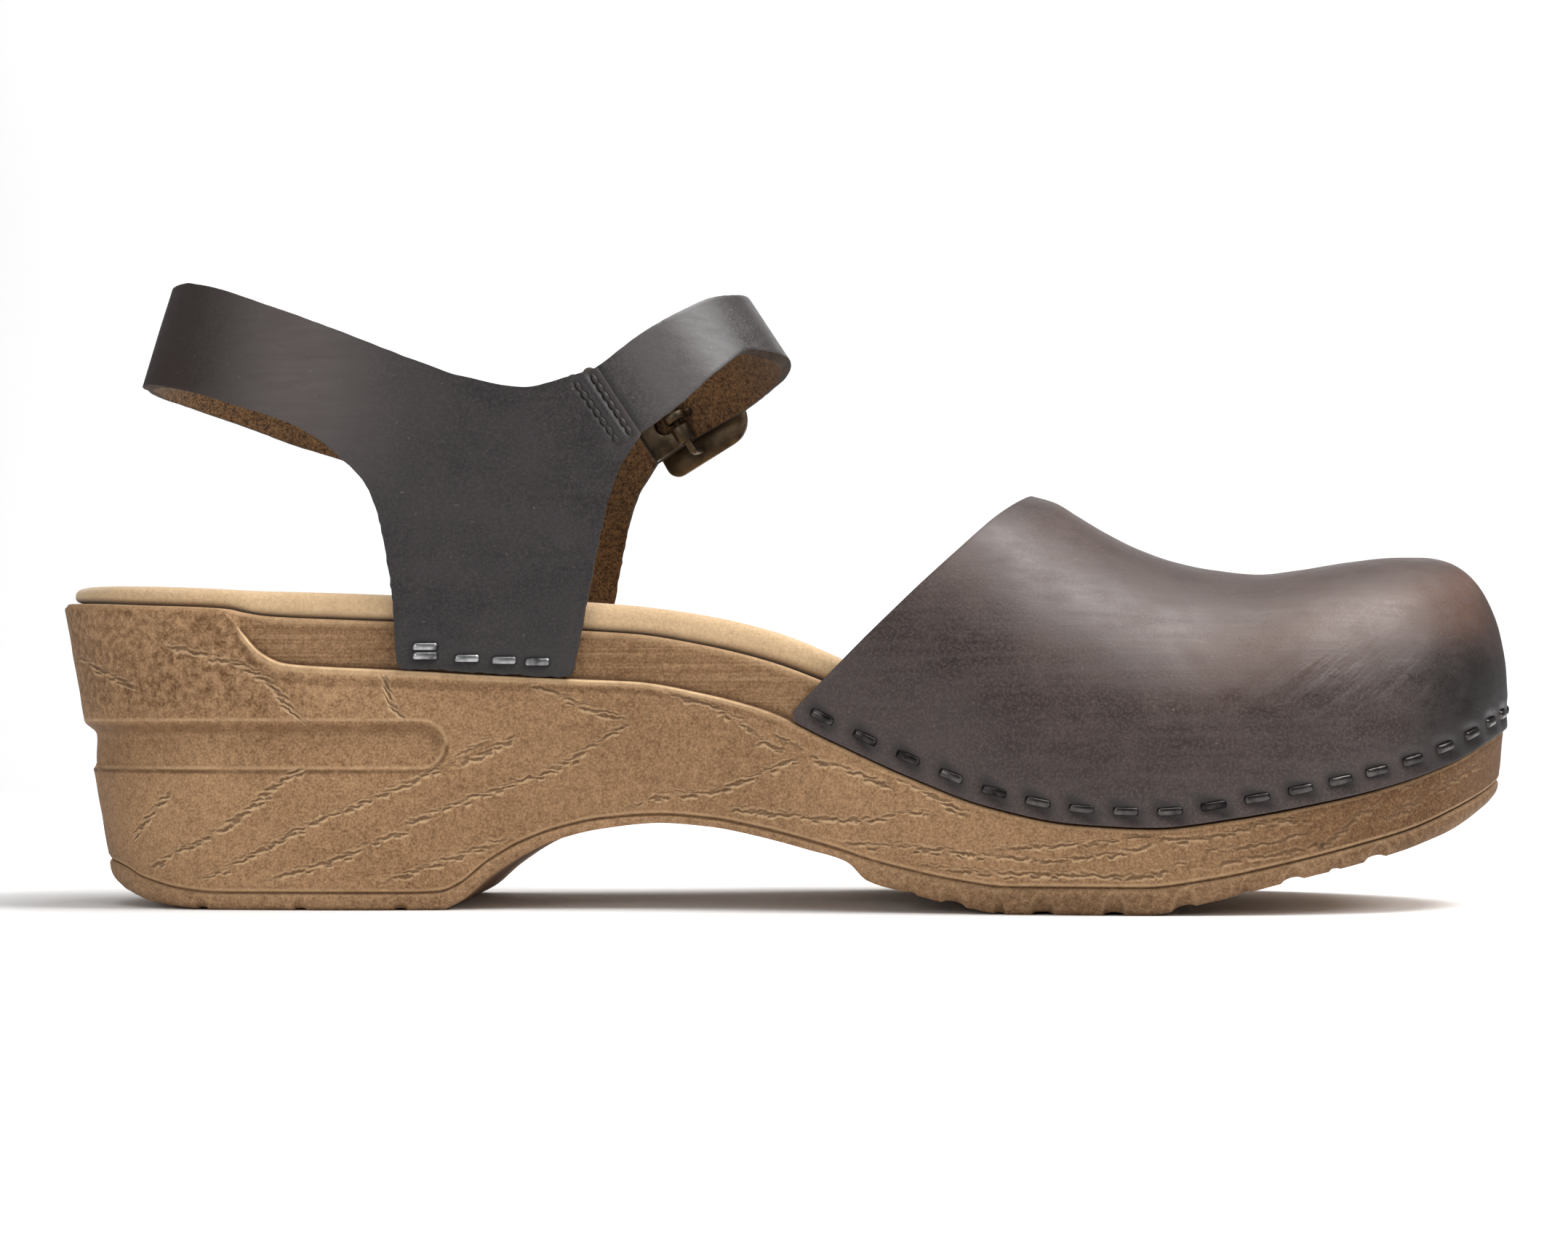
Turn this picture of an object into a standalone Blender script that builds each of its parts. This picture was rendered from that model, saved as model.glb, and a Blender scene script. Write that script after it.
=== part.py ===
"""Clog sandal for the left foot: moulded sole, stapled leather vamp, quarters and buckled ankle strap.

Sizes are millimetres in a last frame: x runs from the back of the heel to the toe, y from the
medial (inner) to the lateral (outer) side, z up from the floor. One empty carries every part,
turns millimetres into metres and puts the origin under the middle of the whole.
"""

import math
from collections import namedtuple

import bpy
import numpy as np
from mathutils import Matrix

MM = 0.001
OBJECT_NAME = "ankle_strap_clog"

# Overall sizes
HEEL_BACK = 1.2
TOE_TIP = 255.4
HEEL_ROUND = 32.0
TOE_ROUND = 38.0
STATION_STEP = 5.4
SIDE_STEPS = (36.5, 39.5, 69.5, 71.2, 74.0, 76.5, 139.2, 142.0)
PIECE_GAP = 0.3

# Sole side
BAND_DEPTH = 1.6
LEDGE_ROUND = 0.5
RIM_ROUND = 0.6
PARTING_LIP = 0.7
GROOVE_MID = 27.7
GROOVE_HALF = 4.6
GROOVE_END = 72.0
GROOVE_DEPTH_BACK = 1.9
GROOVE_DEPTH_END = 1.1
SPREAD_END = 100.0

# Tread
TREAD_ROUND = 1.8
LUG_GROOVE_RADIUS = 1.9
LUG_GROOVES = (156.6, 171.6, 183.4, 195.2, 213.5, 228.6)
HEEL_GROOVE_RADIUS = 1.2
HEEL_GROOVES = (29.4, 46.9, 64.4)

# Leather
LEATHER = 2.0
VAMP_CORNER = 129.7
THROAT_PEAK = 173.0
TOE_TOP = 241.0
VAMP_COLUMNS = 26
VAMP_ROWS = 9
THROAT_ROUND = 0.85
VAMP_BULGE = 1.4
SPINE_POWER = 1.8

# Ankle loop, as the outside of the quarter strap
LOOP_BACK = 15.0
LOOP_BACK_LEAN = 0.31
LOOP_BACK_AT = 92.0
LOOP_FRONT = 130.5
LOOP_FRONT_LEAN = -0.66
LOOP_FRONT_AT = 95.8
LOOP_HALF_WIDTH = 32.0
LOOP_POWER = 2.3
LEG_BLEND = (48.0, 72.0)
LATERAL_DROP = 2.0
LEG_ROWS = 6
LEG_COLUMNS = 7
HEEL_COLUMNS = 9
BAND_ROWS = 3
STRAP_COLUMNS = 30
STRAP_ROWS = 3
STRAP_INSIDE = -2.3
STRAP_OUTSIDE = 2.2

# Buckle: x runs along the strap to its front from the centre bar, y across it, z out from its face
BUCKLE_AT = 0.718
BUCKLE_BACK = -8.0
BUCKLE_FRONT = 11.2
BUCKLE_WIDTH = 19.0
SIDE_BAR = 4.4
END_BAR = 3.4
BUCKLE_THICK = 1.8
BACK_CORNER = 2.4
FRONT_CORNER = 5.2
BAR_RADIUS = 0.9
POST = 2.4
PLATE_SHEET = 0.8
PLATE_WIDTH = 10.0
PLATE_TAIL = 11.0
PLATE_NOTCH = 2.0
PRONG_WIDTH = 1.8
PRONG_THICK = 0.9
PRONG_TIP = 11.4
HOLE_HALF = 1.35
HOLE_ENDS = (1.0, 5.2)

# Staples: flattened crowns, by length, height and thickness
STAPLE = (4.2, 1.4, 0.5)
STAPLE_GAP = 0.15
STAPLE_RISE = 2.3
VAMP_STAPLES = 20
QUARTER_STAPLES = (68.8, 75.8, 82.0, 87.6)
DOUBLED_RISE = 4.2

PlanRow = namedtuple("PlanRow", "x medial lateral")
PLAN = (
    PlanRow(1.2, 0.0, 0.0),
    PlanRow(6.0, 17.0, 17.0),
    PlanRow(15.0, 26.5, 26.5),
    PlanRow(30.0, 32.0, 32.0),
    PlanRow(55.0, 33.0, 33.2),
    PlanRow(85.0, 31.6, 34.0),
    PlanRow(115.0, 32.6, 37.5),
    PlanRow(145.0, 38.4, 42.6),
    PlanRow(170.0, 44.2, 45.6),
    PlanRow(192.0, 46.6, 45.2),
    PlanRow(212.0, 45.6, 41.2),
    PlanRow(230.0, 40.6, 32.6),
    PlanRow(243.6, 31.5, 20.6),
    PlanRow(251.4, 20.6, 9.6),
    PlanRow(255.4, 6.0, -6.0),
)

BottomRow = namedtuple("BottomRow", "x tread parting taper")
BOTTOM = (
    BottomRow(1.2, 4.2, 8.2, 7.8),
    BottomRow(8.0, 2.4, 7.2, 7.2),
    BottomRow(16.0, 0.7, 5.2, 6.2),
    BottomRow(24.0, 0.0, 3.7, 5.0),
    BottomRow(34.0, 0.0, 3.0, 4.0),
    BottomRow(66.0, 0.0, 3.0, 3.0),
    BottomRow(71.0, 0.0, 3.2, 3.0),
    BottomRow(74.0, 1.2, 4.4, 3.0),
    BottomRow(79.0, 5.4, 8.4, 3.1),
    BottomRow(85.0, 9.4, 11.9, 3.2),
    BottomRow(91.0, 12.1, 14.1, 3.3),
    BottomRow(98.0, 13.8, 15.6, 3.4),
    BottomRow(108.0, 14.8, 16.3, 3.5),
    BottomRow(116.0, 14.2, 15.7, 3.4),
    BottomRow(124.0, 12.6, 14.2, 3.2),
    BottomRow(132.0, 10.5, 12.2, 2.8),
    BottomRow(139.0, 8.4, 10.2, 2.4),
    BottomRow(142.0, 5.4, 9.2, 2.2),
    BottomRow(148.0, 3.6, 7.6, 2.0),
    BottomRow(157.0, 1.4, 5.7, 1.6),
    BottomRow(166.0, 0.0, 4.6, 1.3),
    BottomRow(188.0, 0.0, 4.6, 1.0),
    BottomRow(200.0, 2.3, 6.1, 0.9),
    BottomRow(212.0, 5.3, 8.6, 0.8),
    BottomRow(224.0, 8.0, 11.4, 0.8),
    BottomRow(235.0, 10.8, 14.3, 0.8),
    BottomRow(244.2, 13.8, 17.7, 0.8),
    BottomRow(250.6, 16.6, 20.2, 0.8),
    BottomRow(255.4, 19.0, 22.3, 0.8),
)

TopRow = namedtuple("TopRow", "x ledge rim insole dish inset")
TOP = (
    TopRow(1.2, 52.1, 52.7, 55.5, 4.6, 1.9),
    TopRow(20.0, 51.1, 51.7, 55.0, 4.6, 1.9),
    TopRow(35.0, 50.4, 51.0, 54.4, 4.6, 2.0),
    TopRow(38.0, 46.8, 50.4, 54.2, 4.5, 1.9),
    TopRow(41.0, 43.6, 49.9, 54.1, 4.4, 2.2),
    TopRow(45.0, 41.8, 49.6, 54.0, 4.3, 2.3),
    TopRow(52.0, 41.2, 49.3, 53.8, 4.1, 2.3),
    TopRow(64.0, 40.7, 48.9, 53.4, 3.8, 2.3),
    TopRow(80.0, 39.8, 48.3, 52.9, 3.4, 2.3),
    TopRow(95.0, 39.1, 47.4, 52.3, 3.0, 2.3),
    TopRow(104.0, 38.7, 46.8, 51.6, 2.8, 2.4),
    TopRow(115.0, 36.8, 45.0, 50.1, 2.6, 2.6),
    TopRow(126.0, 33.8, 42.2, 47.4, 2.4, 3.2),
    TopRow(137.0, 28.6, 38.0, 42.9, 2.2, 3.6),
    TopRow(150.0, 22.6, 31.8, 36.3, 2.0, 3.7),
    TopRow(163.0, 17.7, 26.4, 30.6, 1.9, 3.7),
    TopRow(177.0, 14.9, 23.0, 27.0, 1.8, 3.7),
    TopRow(190.0, 14.3, 22.0, 25.8, 1.7, 3.7),
    TopRow(203.0, 15.8, 23.2, 26.8, 1.6, 3.7),
    TopRow(216.0, 18.1, 25.4, 28.8, 1.4, 3.8),
    TopRow(229.0, 21.0, 28.0, 31.2, 1.2, 4.0),
    TopRow(241.4, 25.0, 31.6, 34.6, 0.9, 4.0),
    TopRow(249.8, 28.8, 35.0, 37.8, 0.6, 4.2),
    TopRow(255.4, 31.0, 37.0, 39.6, 0.4, 4.4),
)

RidgeRow = namedtuple("RidgeRow", "x z y")
RIDGE = (
    RidgeRow(173.0, 72.0, -1.5),
    RidgeRow(177.0, 71.1, -1.7),
    RidgeRow(181.0, 68.8, -2.0),
    RidgeRow(186.0, 65.8, -2.4),
    RidgeRow(191.5, 62.6, -2.8),
    RidgeRow(198.0, 60.1, -3.3),
    RidgeRow(205.0, 58.6, -3.8),
    RidgeRow(213.0, 58.0, -4.4),
    RidgeRow(220.0, 58.7, -4.9),
    RidgeRow(229.0, 60.1, -5.6),
    RidgeRow(236.0, 60.9, -6.0),
    RidgeRow(241.0, 61.0, -6.0),
)

LegRow = namedtuple("LegRow", "share rear_x rear_z front_x front_z")
LEG = (
    LegRow(0.00, 63.9, 40.9, 93.7, 39.4),
    LegRow(0.30, 63.4, 51.8, 95.8, 51.6),
    LegRow(0.55, 62.0, 60.5, 98.0, 62.6),
    LegRow(0.75, 60.6, 67.0, 99.4, 68.8),
    LegRow(0.90, 58.4, 72.2, 101.3, 74.6),
    LegRow(1.00, 55.8, 75.2, 105.0, 80.6),
)

BandRow = namedtuple("BandRow", "share low_x low_z high_x high_z")
QUARTER_BAND = (
    BandRow(0.00, 105.0, 80.6, 97.6, 91.9),
    BandRow(0.18, 97.0, 79.4, 92.6, 90.2),
    BandRow(0.36, 88.0, 78.2, 85.3, 88.4),
    BandRow(0.60, 76.0, 76.9, 76.2, 89.9),
    BandRow(0.80, 66.0, 76.0, 69.2, 92.1),
    BandRow(1.00, 55.8, 75.2, 62.0, 94.8),
)
HEEL_BAND = (
    BandRow(0.00, 55.8, 75.2, 62.0, 94.8),
    BandRow(0.14, 50.4, 79.7, 56.0, 97.2),
    BandRow(0.28, 45.0, 82.7, 49.8, 99.6),
    BandRow(0.45, 36.6, 85.7, 41.2, 102.9),
    BandRow(0.65, 25.5, 89.4, 30.5, 107.0),
    BandRow(0.82, 18.2, 91.4, 24.4, 108.6),
    BandRow(1.00, 0.0, 92.2, 0.0, 109.0),
)

StrapRow = namedtuple("StrapRow", "share low_x low_z high_x high_z side outside")
ANKLE = (
    StrapRow(0.00, 99.2, 78.2, 92.4, 89.2, -1, 0.0),
    StrapRow(0.08, 105.2, 81.2, 97.8, 92.3, -1, 0.0),
    StrapRow(0.17, 112.1, 86.2, 105.0, 97.9, -1, 0.0),
    StrapRow(0.26, 119.5, 92.8, 113.0, 102.9, -1, 0.0),
    StrapRow(0.33, 125.3, 96.8, 118.8, 106.0, -1, 0.1),
    StrapRow(0.42, 200.0, 96.8, 200.0, 107.6, 1, 0.35),
    StrapRow(0.52, 125.6, 93.8, 120.0, 105.0, 1, 0.7),
    StrapRow(0.60, 119.4, 90.2, 114.4, 100.0, 1, 0.95),
    StrapRow(0.68, 113.4, 87.0, 108.8, 96.0, 1, 1.0),
    StrapRow(0.78, 105.6, 82.0, 100.4, 90.6, 1, 1.0),
    StrapRow(0.89, 97.2, 76.2, 91.8, 84.6, 1, 1.0),
    StrapRow(1.00, 89.2, 70.8, 83.8, 79.2, 1, 1.0),
)

Finish = namedtuple("Finish", "red green blue rough metal")
FINISHES = {
    "sole_tan": Finish(0.30, 0.20, 0.12, 0.75, 0.0),
    "tread_brown": Finish(0.20, 0.13, 0.08, 0.8, 0.0),
    "footbed_suede": Finish(0.52, 0.36, 0.22, 0.95, 0.0),
    "vamp_leather": Finish(0.07, 0.035, 0.02, 0.45, 0.0),
    "strap_leather": Finish(0.06, 0.04, 0.03, 0.6, 0.0),
    "antique_brass": Finish(0.30, 0.22, 0.11, 0.4, 1.0),
    "staple_steel": Finish(0.45, 0.44, 0.42, 0.4, 1.0),
}


def smooth_curve(xs, ys):
    """Monotone cubic through (xs, ys), as a function of an array of x."""
    xs = np.asarray(xs, float)
    ys = np.asarray(ys, float)
    step = np.diff(xs)
    slope = np.diff(ys) / step
    grade = np.zeros(len(xs))
    grade[0] = slope[0]
    grade[-1] = slope[-1]
    for i in range(1, len(xs) - 1):
        if slope[i - 1] * slope[i] > 0:
            before = 2 * step[i] + step[i - 1]
            after = step[i] + 2 * step[i - 1]
            grade[i] = (before + after) / (before / slope[i - 1] + after / slope[i])

    def at(x):
        x = np.clip(np.asarray(x, float), xs[0], xs[-1])
        i = np.clip(np.searchsorted(xs, x) - 1, 0, len(xs) - 2)
        h = step[i]
        t = (x - xs[i]) / h
        a = (1 + 2 * t) * (1 - t) ** 2
        b = t * (1 - t) ** 2
        c = t * t * (3 - 2 * t)
        d = t * t * (t - 1)
        return a * ys[i] + b * h * grade[i] + c * ys[i + 1] + d * h * grade[i + 1]

    return at


def columns(rows):
    """A smooth curve for each named column of a table against its first one."""
    names = rows[0]._fields
    first = [row[0] for row in rows]
    return {name: smooth_curve(first, [row[k] for row in rows]) for k, name in enumerate(names) if k}


def ease(low, high, x):
    t = np.clip((np.asarray(x, float) - low) / (high - low), 0.0, 1.0)
    return t * t * (3 - 2 * t)


def turn_of(x):
    """Half turn from heel to toe whose cosine gives x, so that widths come out round at both ends."""
    share = (np.asarray(x, float) - HEEL_BACK) / (TOE_TIP - HEEL_BACK)
    return np.arccos(np.clip(1 - 2 * share, -1.0, 1.0))


def at_turn(turn):
    return HEEL_BACK + (TOE_TIP - HEEL_BACK) * (1 - np.cos(turn)) / 2


PLAN_MEDIAL = smooth_curve(turn_of([row.x for row in PLAN]), [row.medial for row in PLAN])
PLAN_LATERAL = smooth_curve(turn_of([row.x for row in PLAN]), [row.lateral for row in PLAN])
UNDER = columns(BOTTOM)
OVER = columns(TOP)
RIDGE_LINE = columns(RIDGE)


def stations():
    """Station x values, closer together round the heel and toe and at the side's steps."""
    heel = HEEL_BACK + HEEL_ROUND * (1 - np.cos(np.linspace(0.0, math.pi / 2, 10)))
    toe = TOE_TIP - TOE_ROUND * (1 - np.cos(np.linspace(0.0, math.pi / 2, 12)))
    run = np.arange(heel[-1] + STATION_STEP, toe[-1] - STATION_STEP / 2, STATION_STEP)
    steps = np.array(SIDE_STEPS)
    run = run[np.abs(run[:, None] - steps).min(axis=1) > 1.0]
    return np.sort(np.concatenate([heel, run, steps, toe]))


STATIONS = stations()


def outline(xs, inset):
    """Closed outline at the stations xs: heel, medial side, toe, lateral side; moved inward by inset.

    inset is one number for all points, or one for each.
    """
    medial = np.stack([xs, -PLAN_MEDIAL(turn_of(xs))], 1)
    lateral = np.stack([xs, PLAN_LATERAL(turn_of(xs))], 1)[-2:0:-1]
    ring = np.concatenate([medial, lateral])
    along = np.roll(ring, -1, 0) - np.roll(ring, 1, 0)
    along /= np.linalg.norm(along, axis=1, keepdims=True)
    outward = np.stack([along[:, 1], -along[:, 0]], 1)
    return ring - outward * np.broadcast_to(inset, len(ring))[:, None]


def ring_stations(xs):
    return np.concatenate([xs, xs[-2:0:-1]])


def shell_faces(rings, count):
    """Quads between consecutive rings of count points, each ring above the one before."""
    faces = []
    for k in range(rings - 1):
        for i in range(count):
            j = (i + 1) % count
            faces.append((k * count + i, k * count + j, (k + 1) * count + j, (k + 1) * count + i))
    return faces


def cap(verts, faces, base, count, height_at, across, upward):
    """Closes one ring with rows from the medial to the lateral point of each station."""
    last = count // 2
    rows = []
    for i in range(last + 1):
        left = base + i
        right = base + (count - i) % count
        row = [left]
        if left != right:
            a = np.array(verts[left])
            b = np.array(verts[right])
            for c in range(1, across):
                share = c / across
                point = a + (b - a) * share
                point[2] += height_at(i, 2 * share - 1)
                row.append(len(verts))
                verts.append(tuple(point))
            row.append(right)
        rows.append(row)
    for lower, upper in zip(rows, rows[1:]):
        if len(lower) == 1:
            made = [(lower[0], b, a) for a, b in zip(upper[1:], upper)]
        elif len(upper) == 1:
            made = [(a, upper[0], b) for a, b in zip(lower, lower[1:])]
        else:
            made = [
                (lower[c], upper[c], upper[c + 1], lower[c + 1])
                for c in range(len(lower) - 1)
            ]
        faces.extend(made if upward else [face[::-1] for face in made])


def solid_from_levels(levels, top_dish, bottom_dish, across):
    """Closed loft through (inset, height) levels round the whole outline, with a cap at each end."""
    verts = []
    for inset, height in levels:
        ring = outline(STATIONS, inset)
        verts.extend((x, y, z) for (x, y), z in zip(ring, height))
    count = 2 * len(STATIONS) - 2
    faces = shell_faces(len(levels), count)
    cap(verts, faces, 0, count, bottom_dish, across[0], False)
    cap(verts, faces, (len(levels) - 1) * count, count, top_dish, across[1], True)
    return verts, faces


def sole_levels():
    """Inset and height of each line round the sole body, from the parting line to the rim."""
    x = ring_stations(STATIONS)
    bottom = UNDER["parting"](x) + PIECE_GAP / 2
    taper = UNDER["taper"](x)
    ledge = OVER["ledge"](x)
    rim = OVER["rim"](x)
    band = BAND_DEPTH * ease(34.0, 40.0, x)
    room = ledge - bottom
    end = np.sqrt(np.clip(1 - ((x - GROOVE_END + GROOVE_HALF) / GROOVE_HALF) ** 2, 0.02, 1))
    half = np.where(x < GROOVE_END - GROOVE_HALF, GROOVE_HALF, GROOVE_HALF * end)
    half = np.where(x > GROOVE_END, 0.65 + (0.24 * room - 0.65) * ease(GROOVE_END, SPREAD_END, x), half)
    share = 0.65 - 0.15 * ease(GROOVE_END, 140.0, x)
    middle = np.where(x <= GROOVE_END, GROOVE_MID, bottom + share * room)
    deep = GROOVE_DEPTH_BACK + (GROOVE_DEPTH_END - GROOVE_DEPTH_BACK) * ease(0.0, 66.0, x)
    deep = deep * np.where(x < GROOVE_END, np.minimum(half / GROOVE_HALF * 1.15, 1.0), 0.0)

    def side(z):
        return taper * np.clip(1 - (z - bottom) / room, 0.0, 1.0)

    levels = [(taper + 0.5, bottom), (taper, bottom + PARTING_LIP)]
    for rise, dent in ((-1.0, 0.0), (-0.45, 0.8), (0.1, 1.0), (0.65, 0.65), (1.0, 0.0)):
        z = middle + rise * half
        levels.append((side(z) + dent * deep, z))
    levels.append((side(ledge - LEDGE_ROUND), ledge - LEDGE_ROUND))
    levels.append((np.minimum(LEDGE_ROUND, 0.2 + band), ledge))
    levels.append((np.maximum(band, 0.35), ledge + 0.1))
    levels.append((np.maximum(band + 0.1, 0.5), np.maximum(rim - RIM_ROUND, ledge + 0.25)))
    levels.append((band + 0.2 + RIM_ROUND, rim))
    return levels


def build_sole():
    x = STATIONS
    dish = OVER["dish"](x)
    return solid_from_levels(
        sole_levels(),
        lambda i, v: -dish[i] * (1 - v * v),
        lambda i, v: 0.0,
        (2, 4),
    )


def build_outsole():
    x = ring_stations(STATIONS)
    top = UNDER["parting"](x) - PIECE_GAP / 2
    low = UNDER["tread"](x)
    taper = UNDER["taper"](x)
    thick = top - low
    levels = [
        (taper + TREAD_ROUND * np.minimum(thick / 3.0, 1.0), low),
        (taper + 0.4, low + 0.35 * thick),
        (taper + 0.1, low + 0.8 * thick),
        (taper + 0.5, top),
    ]
    return solid_from_levels(levels, lambda i, v: 0.0, lambda i, v: 0.0, (2, 2))


def build_insole():
    x = ring_stations(STATIONS)
    low = OVER["rim"](x) + PIECE_GAP
    top = OVER["insole"](x)
    inset = OVER["inset"](x)
    dish = OVER["dish"](STATIONS)
    levels = [
        (inset + 0.9, low),
        (inset, low + 0.35 * (top - low)),
        (inset + 0.3, low + 0.75 * (top - low)),
        (inset + 1.6, top),
    ]
    return solid_from_levels(
        levels,
        lambda i, v: -dish[i] * (1 - v * v),
        lambda i, v: -dish[i] * (1 - v * v),
        (4, 6),
    )


def run_shares():
    """Shares of the medial outline from the vamp's corner to the toe tip, and the x at each."""
    fine = at_turn(np.linspace(turn_of(VAMP_CORNER), math.pi, 400))
    width = PLAN_MEDIAL(turn_of(fine))
    run = np.concatenate([[0.0], np.cumsum(np.hypot(np.diff(fine), np.diff(width)))])
    return run / run[-1], fine


def vamp_base(share, side):
    """Point of the vamp's outer lower edge, from its corner (share 0) to the toe tip (share 1)."""
    x = np.interp(share, *run_shares())
    ring = outline(STATIONS, BAND_DEPTH - PIECE_GAP - LEATHER)
    last = len(STATIONS) - 1
    line = ring[: last + 1] if side < 0 else np.concatenate([ring[:1], ring[:last - 1:-1]])
    at = turn_of(STATIONS)
    return np.array(
        [
            np.interp(turn_of(x), at, line[:, 0]),
            np.interp(turn_of(x), at, line[:, 1]),
            OVER["ledge"](x) + PIECE_GAP,
        ]
    )


def vamp_column(share, side, rows):
    """Points from the lower edge up to the ridge, at angles rows (0 at the edge, 1 at the ridge).

    side is -1 for a medial column and 1 for a lateral one. Near the throat a column leans forward,
    and its foot line follows the outline's width at the x that it has reached.
    """
    base = vamp_base(share, side)
    spine_x = THROAT_PEAK + (TOE_TOP - THROAT_PEAK) * (1 - (1 - share) ** SPINE_POWER)
    spine = np.array([spine_x, RIDGE_LINE["y"](spine_x), RIDGE_LINE["z"](spine_x)])
    power = 2.2 + 0.3 * ease(0.1, 0.8, share)
    bulge = VAMP_BULGE * (1 - 0.65 * ease(0.5, 1.0, share))
    angle = np.asarray(rows, float) * math.pi / 2
    out = np.cos(angle) ** (2 / power)
    rise = np.sin(angle) ** (2 / power)
    swell = 4 * rise * (1 - rise) * (1 - ease(0.85, 1.0, share))
    out = out + bulge / abs(base[1] - spine[1] + 0.01) * swell
    toe = ease(0.15, 1.0, share)
    back = (1 - toe) * (1 - rise) ** THROAT_ROUND + toe * out
    x = spine[0] + (base[0] - spine[0]) * back
    plan = PLAN_MEDIAL if side < 0 else PLAN_LATERAL
    widening = (1 - toe) * side * (plan(turn_of(x)) - plan(turn_of(base[0])))
    y = spine[1] + (base[1] + widening - spine[1]) * out
    z = base[2] + (spine[2] - base[2]) * rise
    return np.stack([x, y, z], 1)


def build_vamp():
    shares = np.linspace(0.0, 1.0, VAMP_COLUMNS + 1)
    rows = np.linspace(0.0, 1.0, VAMP_ROWS + 1)
    loop = [(share, -1) for share in shares] + [(share, 1) for share in shares[-2::-1]]
    verts = []
    grid = []
    spine = {}
    for share, side in loop:
        column = vamp_column(share, side, rows)
        ids = []
        for r, point in enumerate(column):
            if r == VAMP_ROWS and share in spine:
                ids.append(spine[share])
                continue
            ids.append(len(verts))
            verts.append(tuple(point))
        spine.setdefault(share, ids[-1])
        grid.append(ids)
    faces = []
    for here, after in zip(grid, grid[1:]):
        for r in range(VAMP_ROWS):
            face = (here[r], after[r], after[r + 1], here[r + 1])
            faces.append(tuple(dict.fromkeys(face)))
    return verts, faces


def loop_span(z):
    back = LOOP_BACK + LOOP_BACK_LEAN * (z - LOOP_BACK_AT)
    front = LOOP_FRONT + LOOP_FRONT_LEAN * (z - LOOP_FRONT_AT)
    return (back + front) / 2, (front - back) / 2


def loop_turn(x, z):
    """Angle round the ankle loop of the point at x and height z: 0 at the back, pi at the front."""
    mid, half = loop_span(z)
    share = np.clip((mid - x) / half, -1.0, 1.0)
    return np.arccos(np.sign(share) * np.abs(share) ** (LOOP_POWER / 2))


def side_y(x, side):
    """Outside of the leather where it stands on the sole's band, as a distance from the middle plane."""
    plan = np.where(side < 0, PLAN_MEDIAL(turn_of(x)), PLAN_LATERAL(turn_of(x)))
    return plan - BAND_DEPTH + PIECE_GAP + LEATHER


def on_loop(turn, z, side, away):
    """Point of the ankle loop at an angle and height, away from the quarter strap's outer face."""
    mid, half = loop_span(z)
    c = np.cos(turn)
    s = np.abs(np.sin(turn))
    u = np.sign(c) * np.abs(c) ** (2 / LOOP_POWER)
    v = s ** (2 / LOOP_POWER)
    x = mid - half * u
    wide = LOOP_HALF_WIDTH * v
    low = 1 - ease(LEG_BLEND[0], LEG_BLEND[1], z)
    y = wide * (1 - low) + side_y(np.clip(x, 40.0, 130.0), side) * low
    lean_x = -np.sign(c) * np.abs(u) ** (LOOP_POWER - 1) / half
    lean_y = v ** (LOOP_POWER - 1) / LOOP_HALF_WIDTH
    normal = np.array([lean_x, lean_y]) / np.hypot(lean_x, lean_y)
    drop = LATERAL_DROP * (1 - ease(36.0, 62.0, x)) * (1 + side * y / LOOP_HALF_WIDTH) / 2
    return (float(x + normal[0] * away), float(side * (y + normal[1] * away)), float(z - drop))


def band_edges(rows, share):
    """Lower and upper edge of a strap at a share of its table, as (turn, z) pairs."""
    first = [row.share for row in rows]
    edges = []
    for x_name, z_name in (("low_x", "low_z"), ("high_x", "high_z")):
        x = np.array([getattr(row, x_name) for row in rows])
        z = np.array([getattr(row, z_name) for row in rows])
        turns = loop_turn(x, z)
        edges.append((float(smooth_curve(first, turns)(share)), float(smooth_curve(first, z)(share))))
    return edges


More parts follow.
